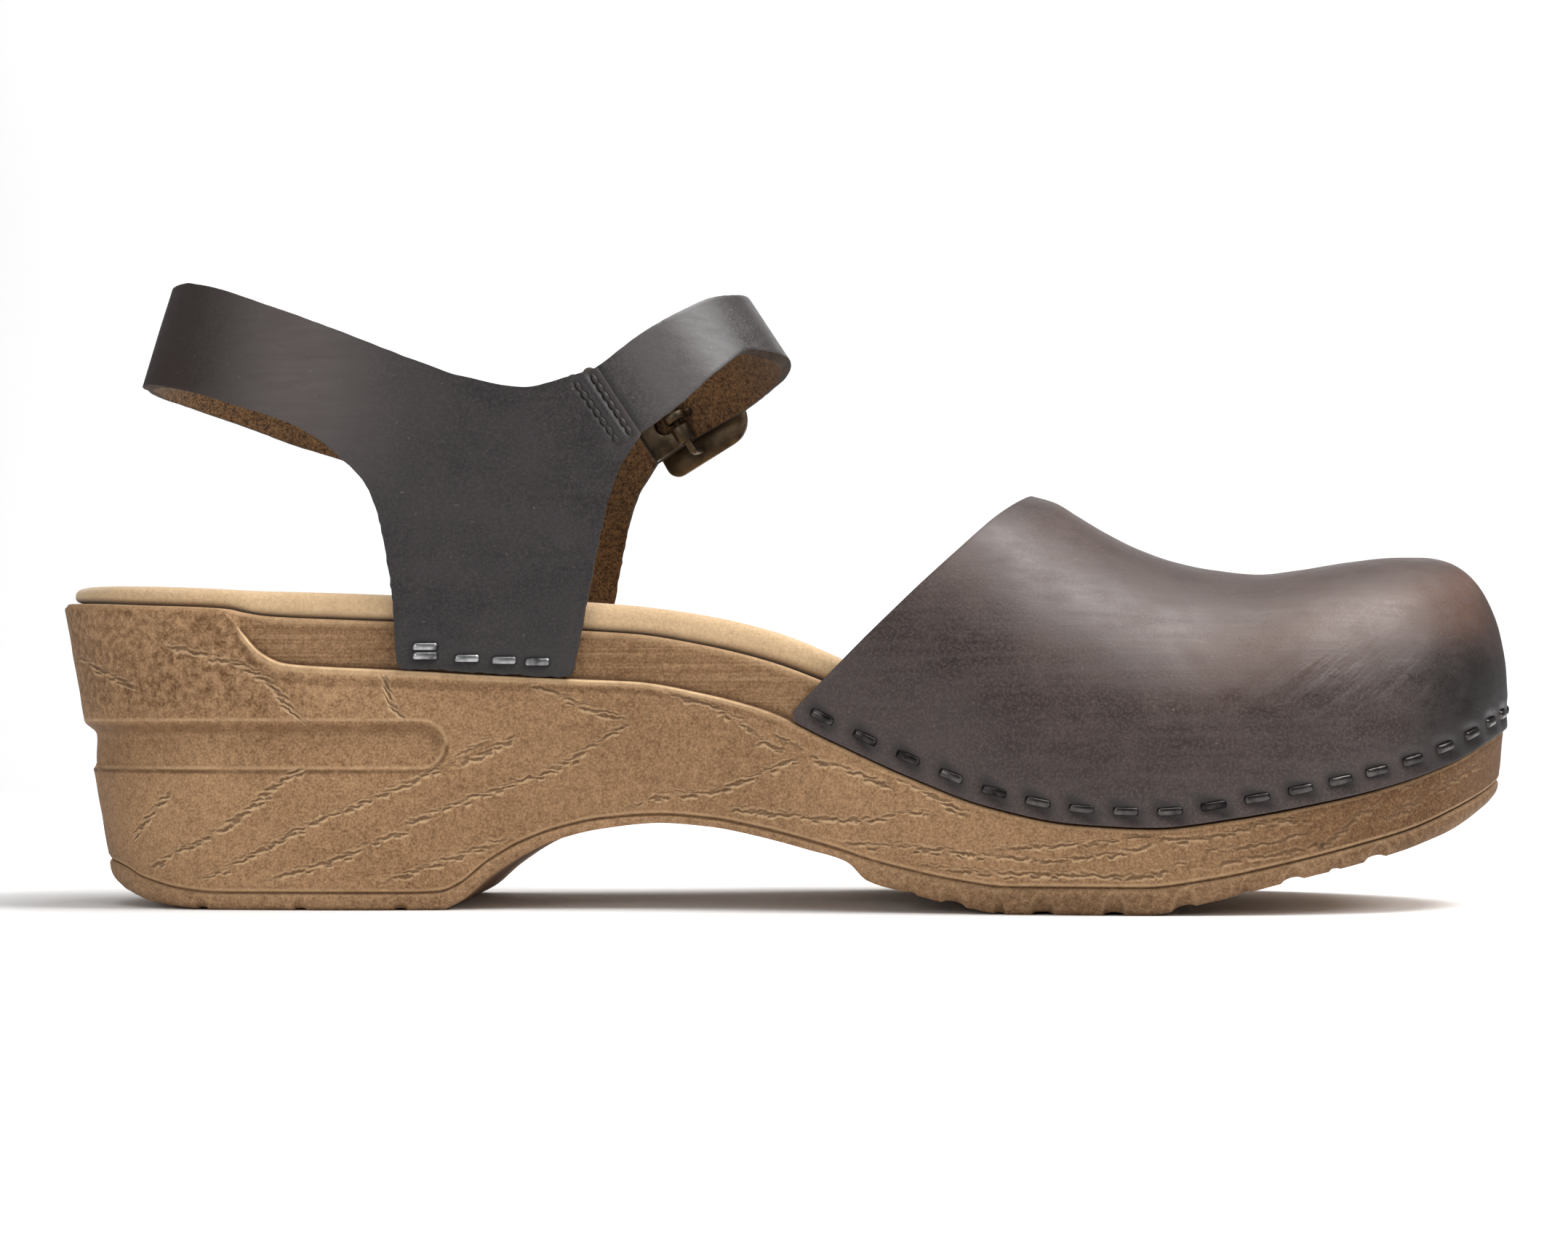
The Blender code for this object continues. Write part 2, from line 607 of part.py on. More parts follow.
def build_quarter_strap():
    """Grid of the heel strap and both quarters' tops, with a leg hung under each end."""
    verts = []
    faces = []

    def add(turn, z, side):
        verts.append(on_loop(turn, z, side, 0.0))
        return len(verts) - 1

    grid = []
    quarter_shares = np.linspace(0.0, 1.0, LEG_COLUMNS + 1)
    heel_shares = np.linspace(0.0, 1.0, HEEL_COLUMNS + 1)
    plan = [(QUARTER_BAND, s, -1) for s in quarter_shares]
    plan += [(HEEL_BAND, s, -1) for s in heel_shares[1:]]
    plan += [(HEEL_BAND, s, 1) for s in heel_shares[-2::-1]]
    plan += [(QUARTER_BAND, s, 1) for s in quarter_shares[-2::-1]]
    for rows, share, side in plan:
        (turn_low, z_low), (turn_high, z_high) = band_edges(rows, share)
        ids = []
        for r in range(BAND_ROWS + 1):
            t = r / BAND_ROWS
            ids.append(add(turn_low + (turn_high - turn_low) * t, z_low + (z_high - z_low) * t, side))
        grid.append(ids)
    for here, after in zip(grid, grid[1:]):
        for r in range(BAND_ROWS):
            faces.append((here[r], here[r + 1], after[r + 1], after[r]))
    leg = columns(LEG)
    for side, tops in ((-1, grid[: LEG_COLUMNS + 1]), (1, grid[::-1][: LEG_COLUMNS + 1])):
        above = [ids[0] for ids in tops]
        for r in range(LEG_ROWS - 1, -1, -1):
            t = r / LEG_ROWS
            row = []
            for c in range(LEG_COLUMNS + 1):
                f = c / LEG_COLUMNS
                x = leg["front_x"](t) + (leg["rear_x"](t) - leg["front_x"](t)) * f
                z = leg["front_z"](t) + (leg["rear_z"](t) - leg["front_z"](t)) * f
                if r == 0:
                    z = OVER["ledge"](x) + PIECE_GAP
                row.append(add(loop_turn(x, z), z, side))
            for c in range(LEG_COLUMNS):
                face = (row[c], above[c], above[c + 1], row[c + 1])
                faces.append(face if side < 0 else face[::-1])
            above = row
    return verts, faces


def strap_edges(share):
    """The ankle strap's edges as (turn, z): under half a turn on the medial side, over it on the lateral."""
    first = [row.share for row in ANKLE]
    edges = []
    for x_name, z_name in (("low_x", "low_z"), ("high_x", "high_z")):
        x = np.array([getattr(row, x_name) for row in ANKLE])
        z = np.array([getattr(row, z_name) for row in ANKLE])
        turns = loop_turn(x, z)
        turns = np.where(np.array([row.side for row in ANKLE]) < 0, turns, 2 * math.pi - turns)
        edges.append((float(smooth_curve(first, turns)(share)), float(smooth_curve(first, z)(share))))
    return edges


STRAP_SIDE = smooth_curve([row.share for row in ANKLE], [row.outside for row in ANKLE])


def strap_point(share, across):
    """Point of the ankle strap's outer face; across is 0 at the lower edge and 1 at the upper one."""
    (turn_low, z_low), (turn_high, z_high) = strap_edges(share)
    turn = turn_low + (turn_high - turn_low) * across
    z = z_low + (z_high - z_low) * across
    side = -1 if turn <= math.pi else 1
    away = STRAP_INSIDE + (STRAP_OUTSIDE + LEATHER - STRAP_INSIDE) * float(STRAP_SIDE(share))
    return np.array(on_loop(turn if side < 0 else 2 * math.pi - turn, z, side, away))


def build_ankle_strap():
    verts = []
    grid = []
    for share in np.linspace(0.0, 1.0, STRAP_COLUMNS + 1):
        ids = []
        for r in range(STRAP_ROWS + 1):
            ids.append(len(verts))
            verts.append(tuple(strap_point(share, r / STRAP_ROWS)))
        grid.append(ids)
    faces = []
    for here, after in zip(grid, grid[1:]):
        for r in range(STRAP_ROWS):
            faces.append((here[r], after[r], after[r + 1], here[r + 1]))
    return verts, faces


def matrix_of(x_axis, y_axis, z_axis, origin):
    matrix = Matrix.Identity(4)
    for i in range(3):
        matrix[i][0] = x_axis[i]
        matrix[i][1] = y_axis[i]
        matrix[i][2] = z_axis[i]
        matrix[i][3] = origin[i]
    return matrix


def strap_axes(share):
    """Axes on the ankle strap's face: along it to its front, up across it, and outward."""
    along = strap_point(share - 0.02, 0.5) - strap_point(share + 0.02, 0.5)
    across = strap_point(share, 0.9) - strap_point(share, 0.1)
    along = along / np.linalg.norm(along)
    out = np.cross(along, across)
    out = out / np.linalg.norm(out)
    if out[1] < 0:
        out = -out
    return along, np.cross(out, along), out


def buckle_place():
    along, up, out = strap_axes(BUCKLE_AT)
    return matrix_of(along, up, out, strap_point(BUCKLE_AT, 0.5))


def on_strap(x, y, z):
    """Point x along, y across and z out from the buckle's place, bent to follow the strap."""
    step = 0.02
    span = np.linalg.norm(strap_point(BUCKLE_AT - step, 0.5) - strap_point(BUCKLE_AT + step, 0.5))
    share = BUCKLE_AT - x * 2 * step / span
    _, up, out = strap_axes(share)
    return strap_point(share, 0.5) + up * y + out * z


def clear_scene():
    for obj in list(bpy.data.objects):
        bpy.data.objects.remove(obj, do_unlink=True)


def make_collection(name):
    found = bpy.data.collections.new(name)
    bpy.context.scene.collection.children.link(found)
    return found


def make_material(name):
    finish = FINISHES[name]
    found = bpy.data.materials.get(name)
    if found:
        return found
    made = bpy.data.materials.new(name)
    made.use_nodes = True
    shader = made.node_tree.nodes["Principled BSDF"]
    shader.inputs["Base Color"].default_value = (finish.red, finish.green, finish.blue, 1.0)
    shader.inputs["Roughness"].default_value = finish.rough
    shader.inputs["Metallic"].default_value = finish.metal
    made.diffuse_color = (finish.red, finish.green, finish.blue, 1.0)
    return made


class Shop:
    """Holds the collections and the empty that carries every part."""

    def __init__(self):
        self.parts = make_collection(OBJECT_NAME)
        self.cutters = make_collection(OBJECT_NAME + "_cutters")
        self.frame = bpy.data.objects.new(OBJECT_NAME + "_frame", None)
        self.frame.scale = (MM, MM, MM)
        self.parts.objects.link(self.frame)

    def add(self, name, shape, material, place=None):
        mesh = bpy.data.meshes.new(name)
        mesh.from_pydata([tuple(map(float, v)) for v in shape[0]], [], shape[1])
        mesh.update()
        obj = bpy.data.objects.new(name, mesh)
        obj.data.materials.append(make_material(material))
        obj.parent = self.frame
        if place is not None:
            obj.matrix_local = place
        self.parts.objects.link(obj)
        return obj

    def adopt(self, obj, place):
        """Takes a primitive made by an operator as a hidden cutter at a place in the last frame."""
        for owner in list(obj.users_collection):
            owner.objects.unlink(obj)
        self.cutters.objects.link(obj)
        obj.parent = self.frame
        obj.matrix_local = place
        obj.hide_render = True
        obj.display_type = "WIRE"
        return obj

    def cutter(self, name, shape, place):
        mesh = bpy.data.meshes.new(name)
        mesh.from_pydata([tuple(map(float, v)) for v in shape[0]], [], shape[1])
        mesh.update()
        obj = bpy.data.objects.new(name, mesh)
        bpy.context.scene.collection.objects.link(obj)
        return self.adopt(obj, place)

    def centre(self):
        """Puts the frame's origin under the middle of the parts' common box."""
        bpy.context.view_layer.update()
        graph = bpy.context.evaluated_depsgraph_get()
        points = []
        for obj in self.parts.objects:
            if obj.type == "MESH":
                shape = obj.evaluated_get(graph)
                points.extend(shape.matrix_world @ v.co for v in shape.data.vertices)
        low = np.min(np.array(points), axis=0)
        high = np.max(np.array(points), axis=0)
        self.frame.location = (-(low[0] + high[0]) / 2, -(low[1] + high[1]) / 2, -low[2])

    def cylinder_cutter(self, name, radius, depth, sides, place):
        bpy.ops.mesh.primitive_cylinder_add(vertices=sides, radius=radius, depth=depth)
        obj = bpy.context.active_object
        obj.name = name
        return self.adopt(obj, place)


def thicken(obj, depth):
    wall = obj.modifiers.new("wall", "SOLIDIFY")
    wall.thickness = depth
    wall.offset = -1.0
    wall.use_even_offset = True


def cut(obj, cutter):
    boolean = obj.modifiers.new(cutter.name, "BOOLEAN")
    boolean.operation = "DIFFERENCE"
    boolean.solver = "EXACT"
    boolean.object = cutter


def join(obj, other):
    boolean = obj.modifiers.new(other.name, "BOOLEAN")
    boolean.operation = "UNION"
    boolean.solver = "EXACT"
    boolean.object = other


def lug_grooves(shop, outsole):
    """Transverse grooves whose ends show as notches along the tread's edge."""
    lying = Matrix.Rotation(math.pi / 2, 4, "X")
    places = [(x, LUG_GROOVE_RADIUS) for x in LUG_GROOVES]
    places += [(x, HEEL_GROOVE_RADIUS) for x in HEEL_GROOVES]
    for k, (x, radius) in enumerate(places):
        at = Matrix.Translation((x, 0.0, float(UNDER["tread"](x)) - 0.1))
        cut(outsole, shop.cylinder_cutter(f"lug_groove_{k + 1:02d}", radius, 130.0, 10, at @ lying))


def rounded_plan(back, front, half, back_corner, front_corner, steps):
    """Rectangle with its own corner radius at the back and at the front, counter-clockwise."""
    corners = (
        (front - front_corner, half - front_corner, front_corner),
        (back + back_corner, half - back_corner, back_corner),
        (back + back_corner, back_corner - half, back_corner),
        (front - front_corner, front_corner - half, front_corner),
    )
    points = []
    for k, (x, y, radius) in enumerate(corners):
        for i in range(steps + 1):
            angle = math.pi / 2 * (k + i / steps)
            points.append((x + radius * math.cos(angle), y + radius * math.sin(angle)))
    return points


def prism(points, low, high):
    """Closed prism over a counter-clockwise outline."""
    count = len(points)
    verts = [(x, y, low) for x, y in points] + [(x, y, high) for x, y in points]
    faces = [tuple(range(count))[::-1], tuple(range(count, 2 * count))]
    for i in range(count):
        j = (i + 1) % count
        faces.append((i, j, count + j, count + i))
    return verts, faces


def bar_height():
    """Height of the centre bar's axis under the strap, so that the folded plate clears the strap."""
    return -LEATHER - PIECE_GAP - (BAR_RADIUS + PIECE_GAP + PLATE_SHEET)


def buckle_ring():
    """Flat frame lying outside the strap."""
    half = BUCKLE_WIDTH / 2
    outer = rounded_plan(BUCKLE_BACK, BUCKLE_FRONT, half, BACK_CORNER, FRONT_CORNER, 5)
    inner = rounded_plan(BUCKLE_BACK + END_BAR, BUCKLE_FRONT - END_BAR, half - SIDE_BAR, 1.0, 2.2, 5)
    low = PIECE_GAP
    high = PIECE_GAP + BUCKLE_THICK
    levels = ((outer, low), (outer, high), (inner, high), (inner, low))
    verts = [(x, y, z) for ring, z in levels for x, y in ring]
    count = len(outer)
    faces = []
    for k in range(4):
        for i in range(count):
            j = (i + 1) % count
            after = (k + 1) % 4
            faces.append((k * count + i, k * count + j, after * count + j, after * count + i))
    return verts, faces


def buckle_stirrup():
    """Centre bar under the strap with a post at each end, as one bent bar."""
    reach = BUCKLE_WIDTH / 2 - SIDE_BAR / 2
    half = BAR_RADIUS * math.sqrt(0.5)
    low = bar_height() - half
    high = PIECE_GAP + BUCKLE_THICK / 2
    outline_yz = [
        (-reach - POST / 2, low),
        (reach + POST / 2, low),
        (reach + POST / 2, high),
        (reach - POST / 2, high),
        (reach - POST / 2, low + 2 * half),
        (POST / 2 - reach, low + 2 * half),
        (POST / 2 - reach, high),
        (-reach - POST / 2, high),
    ]
    verts, faces = prism(outline_yz, -half, half)
    return [(x, y, z) for y, z, x in verts], faces


def plate_profile():
    """Outline of the folded plate in x and z: a tail of two layers and a round fold about the bar."""
    centre = bar_height()
    outer = BAR_RADIUS + PIECE_GAP + PLATE_SHEET
    top = centre + outer
    tail = 2 * PLATE_SHEET
    points = [(-PLATE_TAIL, top), (-PLATE_TAIL, top - tail)]
    points += [(-PLATE_TAIL * k / 4, top - tail) for k in (3, 2)]
    points.append((-outer * 1.02, top - tail))
    for k in range(11):
        angle = math.radians(200.0 + 25.0 * k)
        points.append((outer * math.cos(angle), centre + outer * math.sin(angle)))
    points += [(-PLATE_TAIL * k / 4, top) for k in (2, 3)]
    return points


def buckle_plate_shape():
    profile = plate_profile()
    count = len(profile)
    verts = []
    for y in (-PLATE_WIDTH / 2, PLATE_WIDTH / 2):
        verts.extend(on_strap(x, y, z) for x, z in profile)
    faces = [tuple(range(count))[::-1], tuple(range(count, 2 * count))]
    for i in range(count):
        j = (i + 1) % count
        faces.append((i, j, count + j, count + i))
    return verts, [face[::-1] for face in faces]


def plate_notch():
    """Open slot in the plate for the prong's loop."""
    points = [(4.0, -PLATE_NOTCH), (4.0, PLATE_NOTCH)]
    for k in range(7):
        angle = math.pi / 2 + math.pi * k / 6
        points.append((-2.6 + PLATE_NOTCH * math.cos(angle), PLATE_NOTCH * math.sin(angle)))
    return prism(points, bar_height() - 4.0, bar_height() + 4.0)


def strap_hole():
    """Oval hole in the strap where the prong passes."""
    low, high = HOLE_ENDS
    corner = HOLE_HALF - 0.05
    return prism(rounded_plan(low, high, HOLE_HALF, corner, corner, 4), -LEATHER - 1.6, 1.6)


def prong_path():
    """Middle line of the prong in x and z: most of a turn round the bar, then out and along the frame."""
    centre = bar_height()
    turn = BAR_RADIUS + PIECE_GAP + PRONG_THICK / 2
    points = []
    for k in range(13):
        angle = math.radians(100.0 + 280.0 * k / 12)
        points.append((turn * math.cos(angle), centre + turn * math.sin(angle)))
    rest = PIECE_GAP + BUCKLE_THICK + PIECE_GAP + PRONG_THICK / 2
    points += [(1.75, centre + 1.5), (2.4, -1.9), (3.4, -0.4), (4.7, 1.3)]
    points += [(6.3, rest), (8.8, rest), (PRONG_TIP, rest - 0.1)]
    return np.array(points)


def prong_shape():
    path = prong_path()
    along = np.gradient(path, axis=0)
    along /= np.linalg.norm(along, axis=1, keepdims=True)
    side = np.stack([-along[:, 1], along[:, 0]], 1) * PRONG_THICK / 2
    verts = []
    for (x, z), (dx, dz) in zip(path, side):
        for y, sign in ((-1, -1), (1, -1), (1, 1), (-1, 1)):
            verts.append((x + sign * dx, y * PRONG_WIDTH / 2, z + sign * dz))
    faces = []
    for k in range(len(path) - 1):
        for i in range(4):
            j = (i + 1) % 4
            faces.append((4 * k + i, 4 * k + j, 4 * k + 4 + j, 4 * k + 4 + i))
    last = 4 * (len(path) - 1)
    faces.append((3, 2, 1, 0))
    faces.append((last, last + 1, last + 2, last + 3))
    return verts, faces


def staple_shape():
    length, height, thick = (size / 2 for size in STAPLE)
    corners = [(-length, -height), (length, -height), (length, height), (-length, height)]
    return prism(corners, -thick, thick)


def staple_place(point, along, up):
    along = along / np.linalg.norm(along)
    out = np.cross(along, up)
    out = out / np.linalg.norm(out)
    return matrix_of(along, np.cross(out, along), out, point + out * (STAPLE[2] / 2 + STAPLE_GAP))


def vamp_staple_places():
    """Places along the vamp's lower edge from its corner to the toe, medial side first."""
    places = []
    for side in (-1, 1):
        for k in range(VAMP_STAPLES):
            share = (k + 0.55) / VAMP_STAPLES
            share -= 0.008 * float(ease(0.58, 0.72, share))
            height = float(vamp_column(share, side, [1.0])[0, 2] - vamp_base(share, side)[2])
            angle = math.asin((STAPLE_RISE / height) ** 1.12) / (math.pi / 2)
            low, here, high = vamp_column(share, side, [angle - 0.02, angle, angle + 0.02])
            before = vamp_column(share - 0.01, side, [angle])[0]
            after = vamp_column(min(share + 0.01, 1.0), side, [angle])[0]
            places.append(staple_place(here, (after - before) * -side, high - low))
    return places


def quarter_staple_places():
    places = []
    for side in (-1, 1):
        spots = [(x, STAPLE_RISE) for x in QUARTER_STAPLES]
        if side < 0:
            spots.append((QUARTER_STAPLES[0], DOUBLED_RISE))
        for x, rise in spots:
            z = float(OVER["ledge"](x)) + PIECE_GAP + rise
            at = [
                np.array(on_loop(loop_turn(x + dx, z + dz), z + dz, side, 0.0))
                for dx, dz in ((0, 0), (-1, 0), (1, 0), (0, -1), (0, 1))
            ]
            places.append(staple_place(at[0], (at[2] - at[1]) * -side, at[4] - at[3]))
    return places


def main():
    clear_scene()
    shop = Shop()
    outsole = shop.add("outsole", build_outsole(), "tread_brown")
    lug_grooves(shop, outsole)
    shop.add("sole_body", build_sole(), "sole_tan")
    shop.add("insole", build_insole(), "footbed_suede")
    thicken(shop.add("vamp", build_vamp(), "vamp_leather"), LEATHER)
    thicken(shop.add("quarter_strap", build_quarter_strap(), "strap_leather"), LEATHER)
    ankle = shop.add("ankle_strap", build_ankle_strap(), "strap_leather")
    thicken(ankle, LEATHER)
    place = buckle_place()
    cut(ankle, shop.cutter("prong_hole", strap_hole(), place))
    plate = shop.add("buckle_plate", buckle_plate_shape(), "antique_brass")
    bore = Matrix.Translation((0.0, 0.0, bar_height())) @ Matrix.Rotation(math.pi / 2, 4, "X")
    cut(plate, shop.cylinder_cutter("plate_bore", BAR_RADIUS + PIECE_GAP, 20.0, 16, place @ bore))
    cut(plate, shop.cutter("prong_notch", plate_notch(), place))
    ring = shop.add("buckle_frame", buckle_ring(), "antique_brass", place)
    join(ring, shop.cutter("centre_bar", buckle_stirrup(), place))
    shop.add("buckle_prong", prong_shape(), "antique_brass", place)
    for k, spot in enumerate(vamp_staple_places()):
        shop.add(f"staple_vamp_{k + 1:02d}", staple_shape(), "staple_steel", spot)
    for k, spot in enumerate(quarter_staple_places()):
        shop.add(f"staple_quarter_{k + 1:02d}", staple_shape(), "staple_steel", spot)
    shop.centre()


main()
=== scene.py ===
"""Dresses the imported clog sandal: moulded sole, suede footbed, stapled leather, straps, buckle and light.

Shapes are worked out in the last frame, in millimetres: x runs from heel to toe, y from the medial
(-) to the lateral (+) side, z up from the floor. One shift and one scale put them in the row frame.
"""

import logging
import math
from dataclasses import dataclass
from enum import Enum
from typing import NamedTuple, Sequence

import bmesh
import bpy
import numpy as np
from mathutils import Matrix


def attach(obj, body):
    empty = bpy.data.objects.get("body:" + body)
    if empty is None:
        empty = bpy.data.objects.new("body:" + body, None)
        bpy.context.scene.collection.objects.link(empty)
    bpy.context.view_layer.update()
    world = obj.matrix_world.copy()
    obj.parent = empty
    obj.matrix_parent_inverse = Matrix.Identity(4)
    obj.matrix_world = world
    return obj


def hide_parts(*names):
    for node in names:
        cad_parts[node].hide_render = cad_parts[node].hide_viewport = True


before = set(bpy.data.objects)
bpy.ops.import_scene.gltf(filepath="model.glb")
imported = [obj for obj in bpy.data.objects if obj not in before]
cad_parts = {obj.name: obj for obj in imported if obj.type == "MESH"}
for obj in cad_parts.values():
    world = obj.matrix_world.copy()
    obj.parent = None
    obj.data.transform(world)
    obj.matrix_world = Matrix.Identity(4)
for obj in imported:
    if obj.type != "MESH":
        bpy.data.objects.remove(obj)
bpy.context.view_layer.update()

LOG = logging.getLogger("clog")
MM = 0.001
LAST_ORIGIN = (129.004, -0.514, 0.0)
PICTURE = (2156.0, 1725.0)
QUARTER_TURN = math.pi / 2

Array = np.ndarray
Colour = tuple[float, float, float]
Piece = bpy.types.Object
Frames = tuple[Array, Array, Array]


class Side(Enum):
    """Side of the left foot, by the sign of y."""

    MEDIAL = -1
    LATERAL = 1


class PlanRow(NamedTuple):
    """Half widths of the sole at a station."""

    x: float
    medial: float
    lateral: float


class BottomRow(NamedTuple):
    """Heights of the tread and the parting line, and how far the side tapers in."""

    x: float
    tread: float
    parting: float
    taper: float


class TopRow(NamedTuple):
    """Heights of the ledge, the rim and the footbed's edge, with the footbed's dish and inset."""

    x: float
    ledge: float
    rim: float
    insole: float
    dish: float
    inset: float


class RidgeRow(NamedTuple):
    """Line along the top of the vamp."""

    x: float
    z: float
    y: float


class EdgeRow(NamedTuple):
    """Two edges of a leather band seen from the side, its side, and how far it lies outside the quarter."""

    share: float
    low_x: float
    low_z: float
    high_x: float
    high_z: float
    side: int = Side.MEDIAL.value
    outside: float = 0.0


class GrooveSet(NamedTuple):
    """Transverse grooves of one size in the tread, with the reach and number of stations that draw one."""

    places: tuple[float, ...]
    radius: float
    reach: float
    stations: int


class SoftBox(NamedTuple):
    """Area light: degrees round from the camera to the toe and up, metres away, size, watts, target."""

    name: str
    around: float
    up: float
    away: float
    width: float
    depth: float
    watts: float
    target: Colour = (0.03, 0.0, 0.05)


def table(kind: type, *rows: tuple[float, ...]) -> tuple[NamedTuple, ...]:
    """Rows of numbers as named rows of one kind."""
    return tuple(kind(*row) for row in rows)


# Sections, edges and ridge lines of the last and its leather, in millimetres
# A leg's row holds its rear edge first, then its front edge
PLAN = table(
    PlanRow,
    (1.2, 0.0, 0.0), (6.0, 17.0, 17.0), (15.0, 26.5, 26.5), (30.0, 32.0, 32.0), (55.0, 33.0, 33.2),
    (85.0, 31.6, 34.0), (115.0, 32.6, 37.5), (145.0, 38.4, 42.6), (170.0, 44.2, 45.6),
    (192.0, 46.6, 45.2), (212.0, 45.6, 41.2), (230.0, 40.6, 32.6), (243.6, 31.5, 20.6),
    (251.4, 20.6, 9.6), (255.4, 6.0, -6.0),
)
BOTTOM = table(
    BottomRow,
    (1.2, 4.2, 8.2, 7.8), (8.0, 2.6, 7.2, 7.2), (16.0, 1.2, 5.2, 6.2), (24.0, 0.4, 3.7, 5.0),
    (34.0, 0.0, 3.0, 4.0), (66.0, 0.0, 3.0, 3.0), (71.0, 0.0, 3.2, 3.0), (74.0, 1.2, 4.4, 3.0),
    (79.0, 5.4, 8.4, 3.1), (85.0, 9.4, 11.9, 3.2), (91.0, 12.1, 14.1, 3.3), (98.0, 13.8, 15.6, 3.4),
    (108.0, 14.8, 16.3, 3.5), (116.0, 14.2, 15.7, 3.4), (124.0, 12.6, 14.2, 3.2),
    (132.0, 10.5, 12.2, 2.8), (139.0, 8.4, 10.2, 2.4), (142.0, 5.4, 9.2, 2.2), (148.0, 3.6, 7.6, 2.0),
    (157.0, 1.4, 5.7, 1.6), (166.0, 0.0, 4.6, 1.3), (188.0, 0.0, 4.6, 1.0), (200.0, 2.3, 6.1, 0.9),
    (212.0, 5.3, 8.6, 0.8), (224.0, 8.0, 11.4, 0.8), (235.0, 10.8, 14.3, 0.8), (244.2, 13.8, 17.7, 0.8),
    (250.6, 16.6, 20.2, 0.8), (255.4, 19.0, 22.3, 0.8),
)
TOP = table(
    TopRow,
    (1.2, 52.1, 52.7, 55.5, 4.6, 1.9), (20.0, 51.1, 51.7, 55.0, 4.6, 1.9),
    (35.0, 50.4, 51.0, 54.4, 4.6, 2.0), (38.0, 46.8, 50.4, 54.2, 4.5, 1.9),
    (41.0, 43.6, 49.9, 54.1, 4.4, 2.2), (45.0, 41.8, 49.6, 54.0, 4.3, 2.3),
    (52.0, 41.2, 49.3, 53.8, 4.1, 2.3), (64.0, 40.7, 48.9, 53.4, 3.8, 2.3),
    (80.0, 39.8, 48.3, 52.9, 3.4, 2.3), (95.0, 39.1, 47.4, 52.3, 3.0, 2.3),
    (104.0, 38.7, 46.8, 51.6, 2.8, 2.4), (115.0, 36.8, 45.0, 50.1, 2.6, 2.6),
    (126.0, 33.8, 42.2, 47.4, 2.4, 3.2), (137.0, 28.6, 38.0, 42.9, 2.2, 3.6),
    (150.0, 22.6, 31.8, 36.3, 2.0, 3.7), (163.0, 17.7, 26.4, 30.6, 1.9, 3.7),
    (177.0, 14.9, 23.0, 27.0, 1.8, 3.7), (190.0, 14.3, 22.0, 25.8, 1.7, 3.7),
    (203.0, 15.8, 23.2, 26.8, 1.6, 3.7), (216.0, 18.1, 25.4, 28.8, 1.4, 3.8),
    (229.0, 21.0, 28.0, 31.2, 1.2, 4.0), (241.4, 25.0, 31.6, 34.6, 0.9, 4.0),
    (249.8, 28.8, 35.0, 37.8, 0.6, 4.2), (255.4, 31.0, 37.0, 39.6, 0.4, 4.4),
)
RIDGE = table(
    RidgeRow,
    (173.0, 71.9, -1.5), (177.0, 70.8, -1.7), (181.0, 68.4, -2.0), (186.0, 65.4, -2.4),
    (191.5, 62.6, -2.8), (198.0, 60.3, -3.3), (205.0, 58.8, -3.8), (213.0, 58.0, -4.4),
    (220.0, 58.7, -4.9), (229.0, 60.1, -5.6), (236.0, 60.9, -6.0), (241.0, 61.0, -6.0),
)
LEG = table(
    EdgeRow,
    (0.00, 63.9, 40.9, 93.7, 39.4), (0.30, 63.4, 51.8, 95.8, 51.6), (0.55, 62.0, 60.5, 98.0, 62.6),
    (0.75, 60.6, 67.0, 99.4, 68.8), (0.90, 58.4, 72.2, 101.3, 74.6), (1.00, 55.8, 75.2, 105.0, 80.6),
)
QUARTER_BAND = table(
    EdgeRow,
    (0.00, 105.0, 80.6, 97.6, 91.9), (0.18, 97.0, 79.4, 92.6, 90.2), (0.36, 88.0, 78.2, 85.3, 88.4),
    (0.60, 76.0, 76.9, 76.2, 89.9), (0.80, 66.0, 76.0, 69.2, 92.1), (1.00, 55.8, 75.2, 62.0, 94.8),
)
HEEL_BAND = table(
    EdgeRow,
    (0.00, 55.8, 75.2, 62.0, 94.8), (0.14, 50.4, 79.7, 56.0, 97.2), (0.28, 45.0, 82.7, 49.8, 99.6),
    (0.45, 36.6, 85.7, 41.2, 102.9), (0.65, 25.5, 89.4, 30.5, 107.0), (0.82, 18.2, 91.4, 24.4, 108.6),
    (1.00, 0.0, 92.2, 0.0, 109.0),
)
ANKLE = table(
    EdgeRow,
    (0.00, 99.2, 78.2, 92.4, 89.2, -1, 0.0), (0.08, 105.2, 81.2, 97.8, 92.3, -1, 0.0),
    (0.17, 112.1, 86.2, 105.0, 97.9, -1, 0.0), (0.26, 119.5, 92.8, 113.0, 102.9, -1, 0.0),
    (0.33, 125.3, 96.8, 118.8, 106.0, -1, 0.1), (0.42, 200.0, 96.8, 200.0, 107.6, 1, 0.35),
    (0.52, 125.6, 93.8, 120.0, 105.0, 1, 0.7), (0.60, 119.4, 90.2, 114.4, 100.0, 1, 0.95),
    (0.68, 113.4, 87.0, 108.8, 96.0, 1, 1.0), (0.78, 105.6, 82.0, 100.4, 90.6, 1, 1.0),
    (0.89, 97.2, 76.2, 91.8, 84.6, 1, 1.0), (1.00, 89.2, 70.8, 83.8, 79.2, 1, 1.0),
)

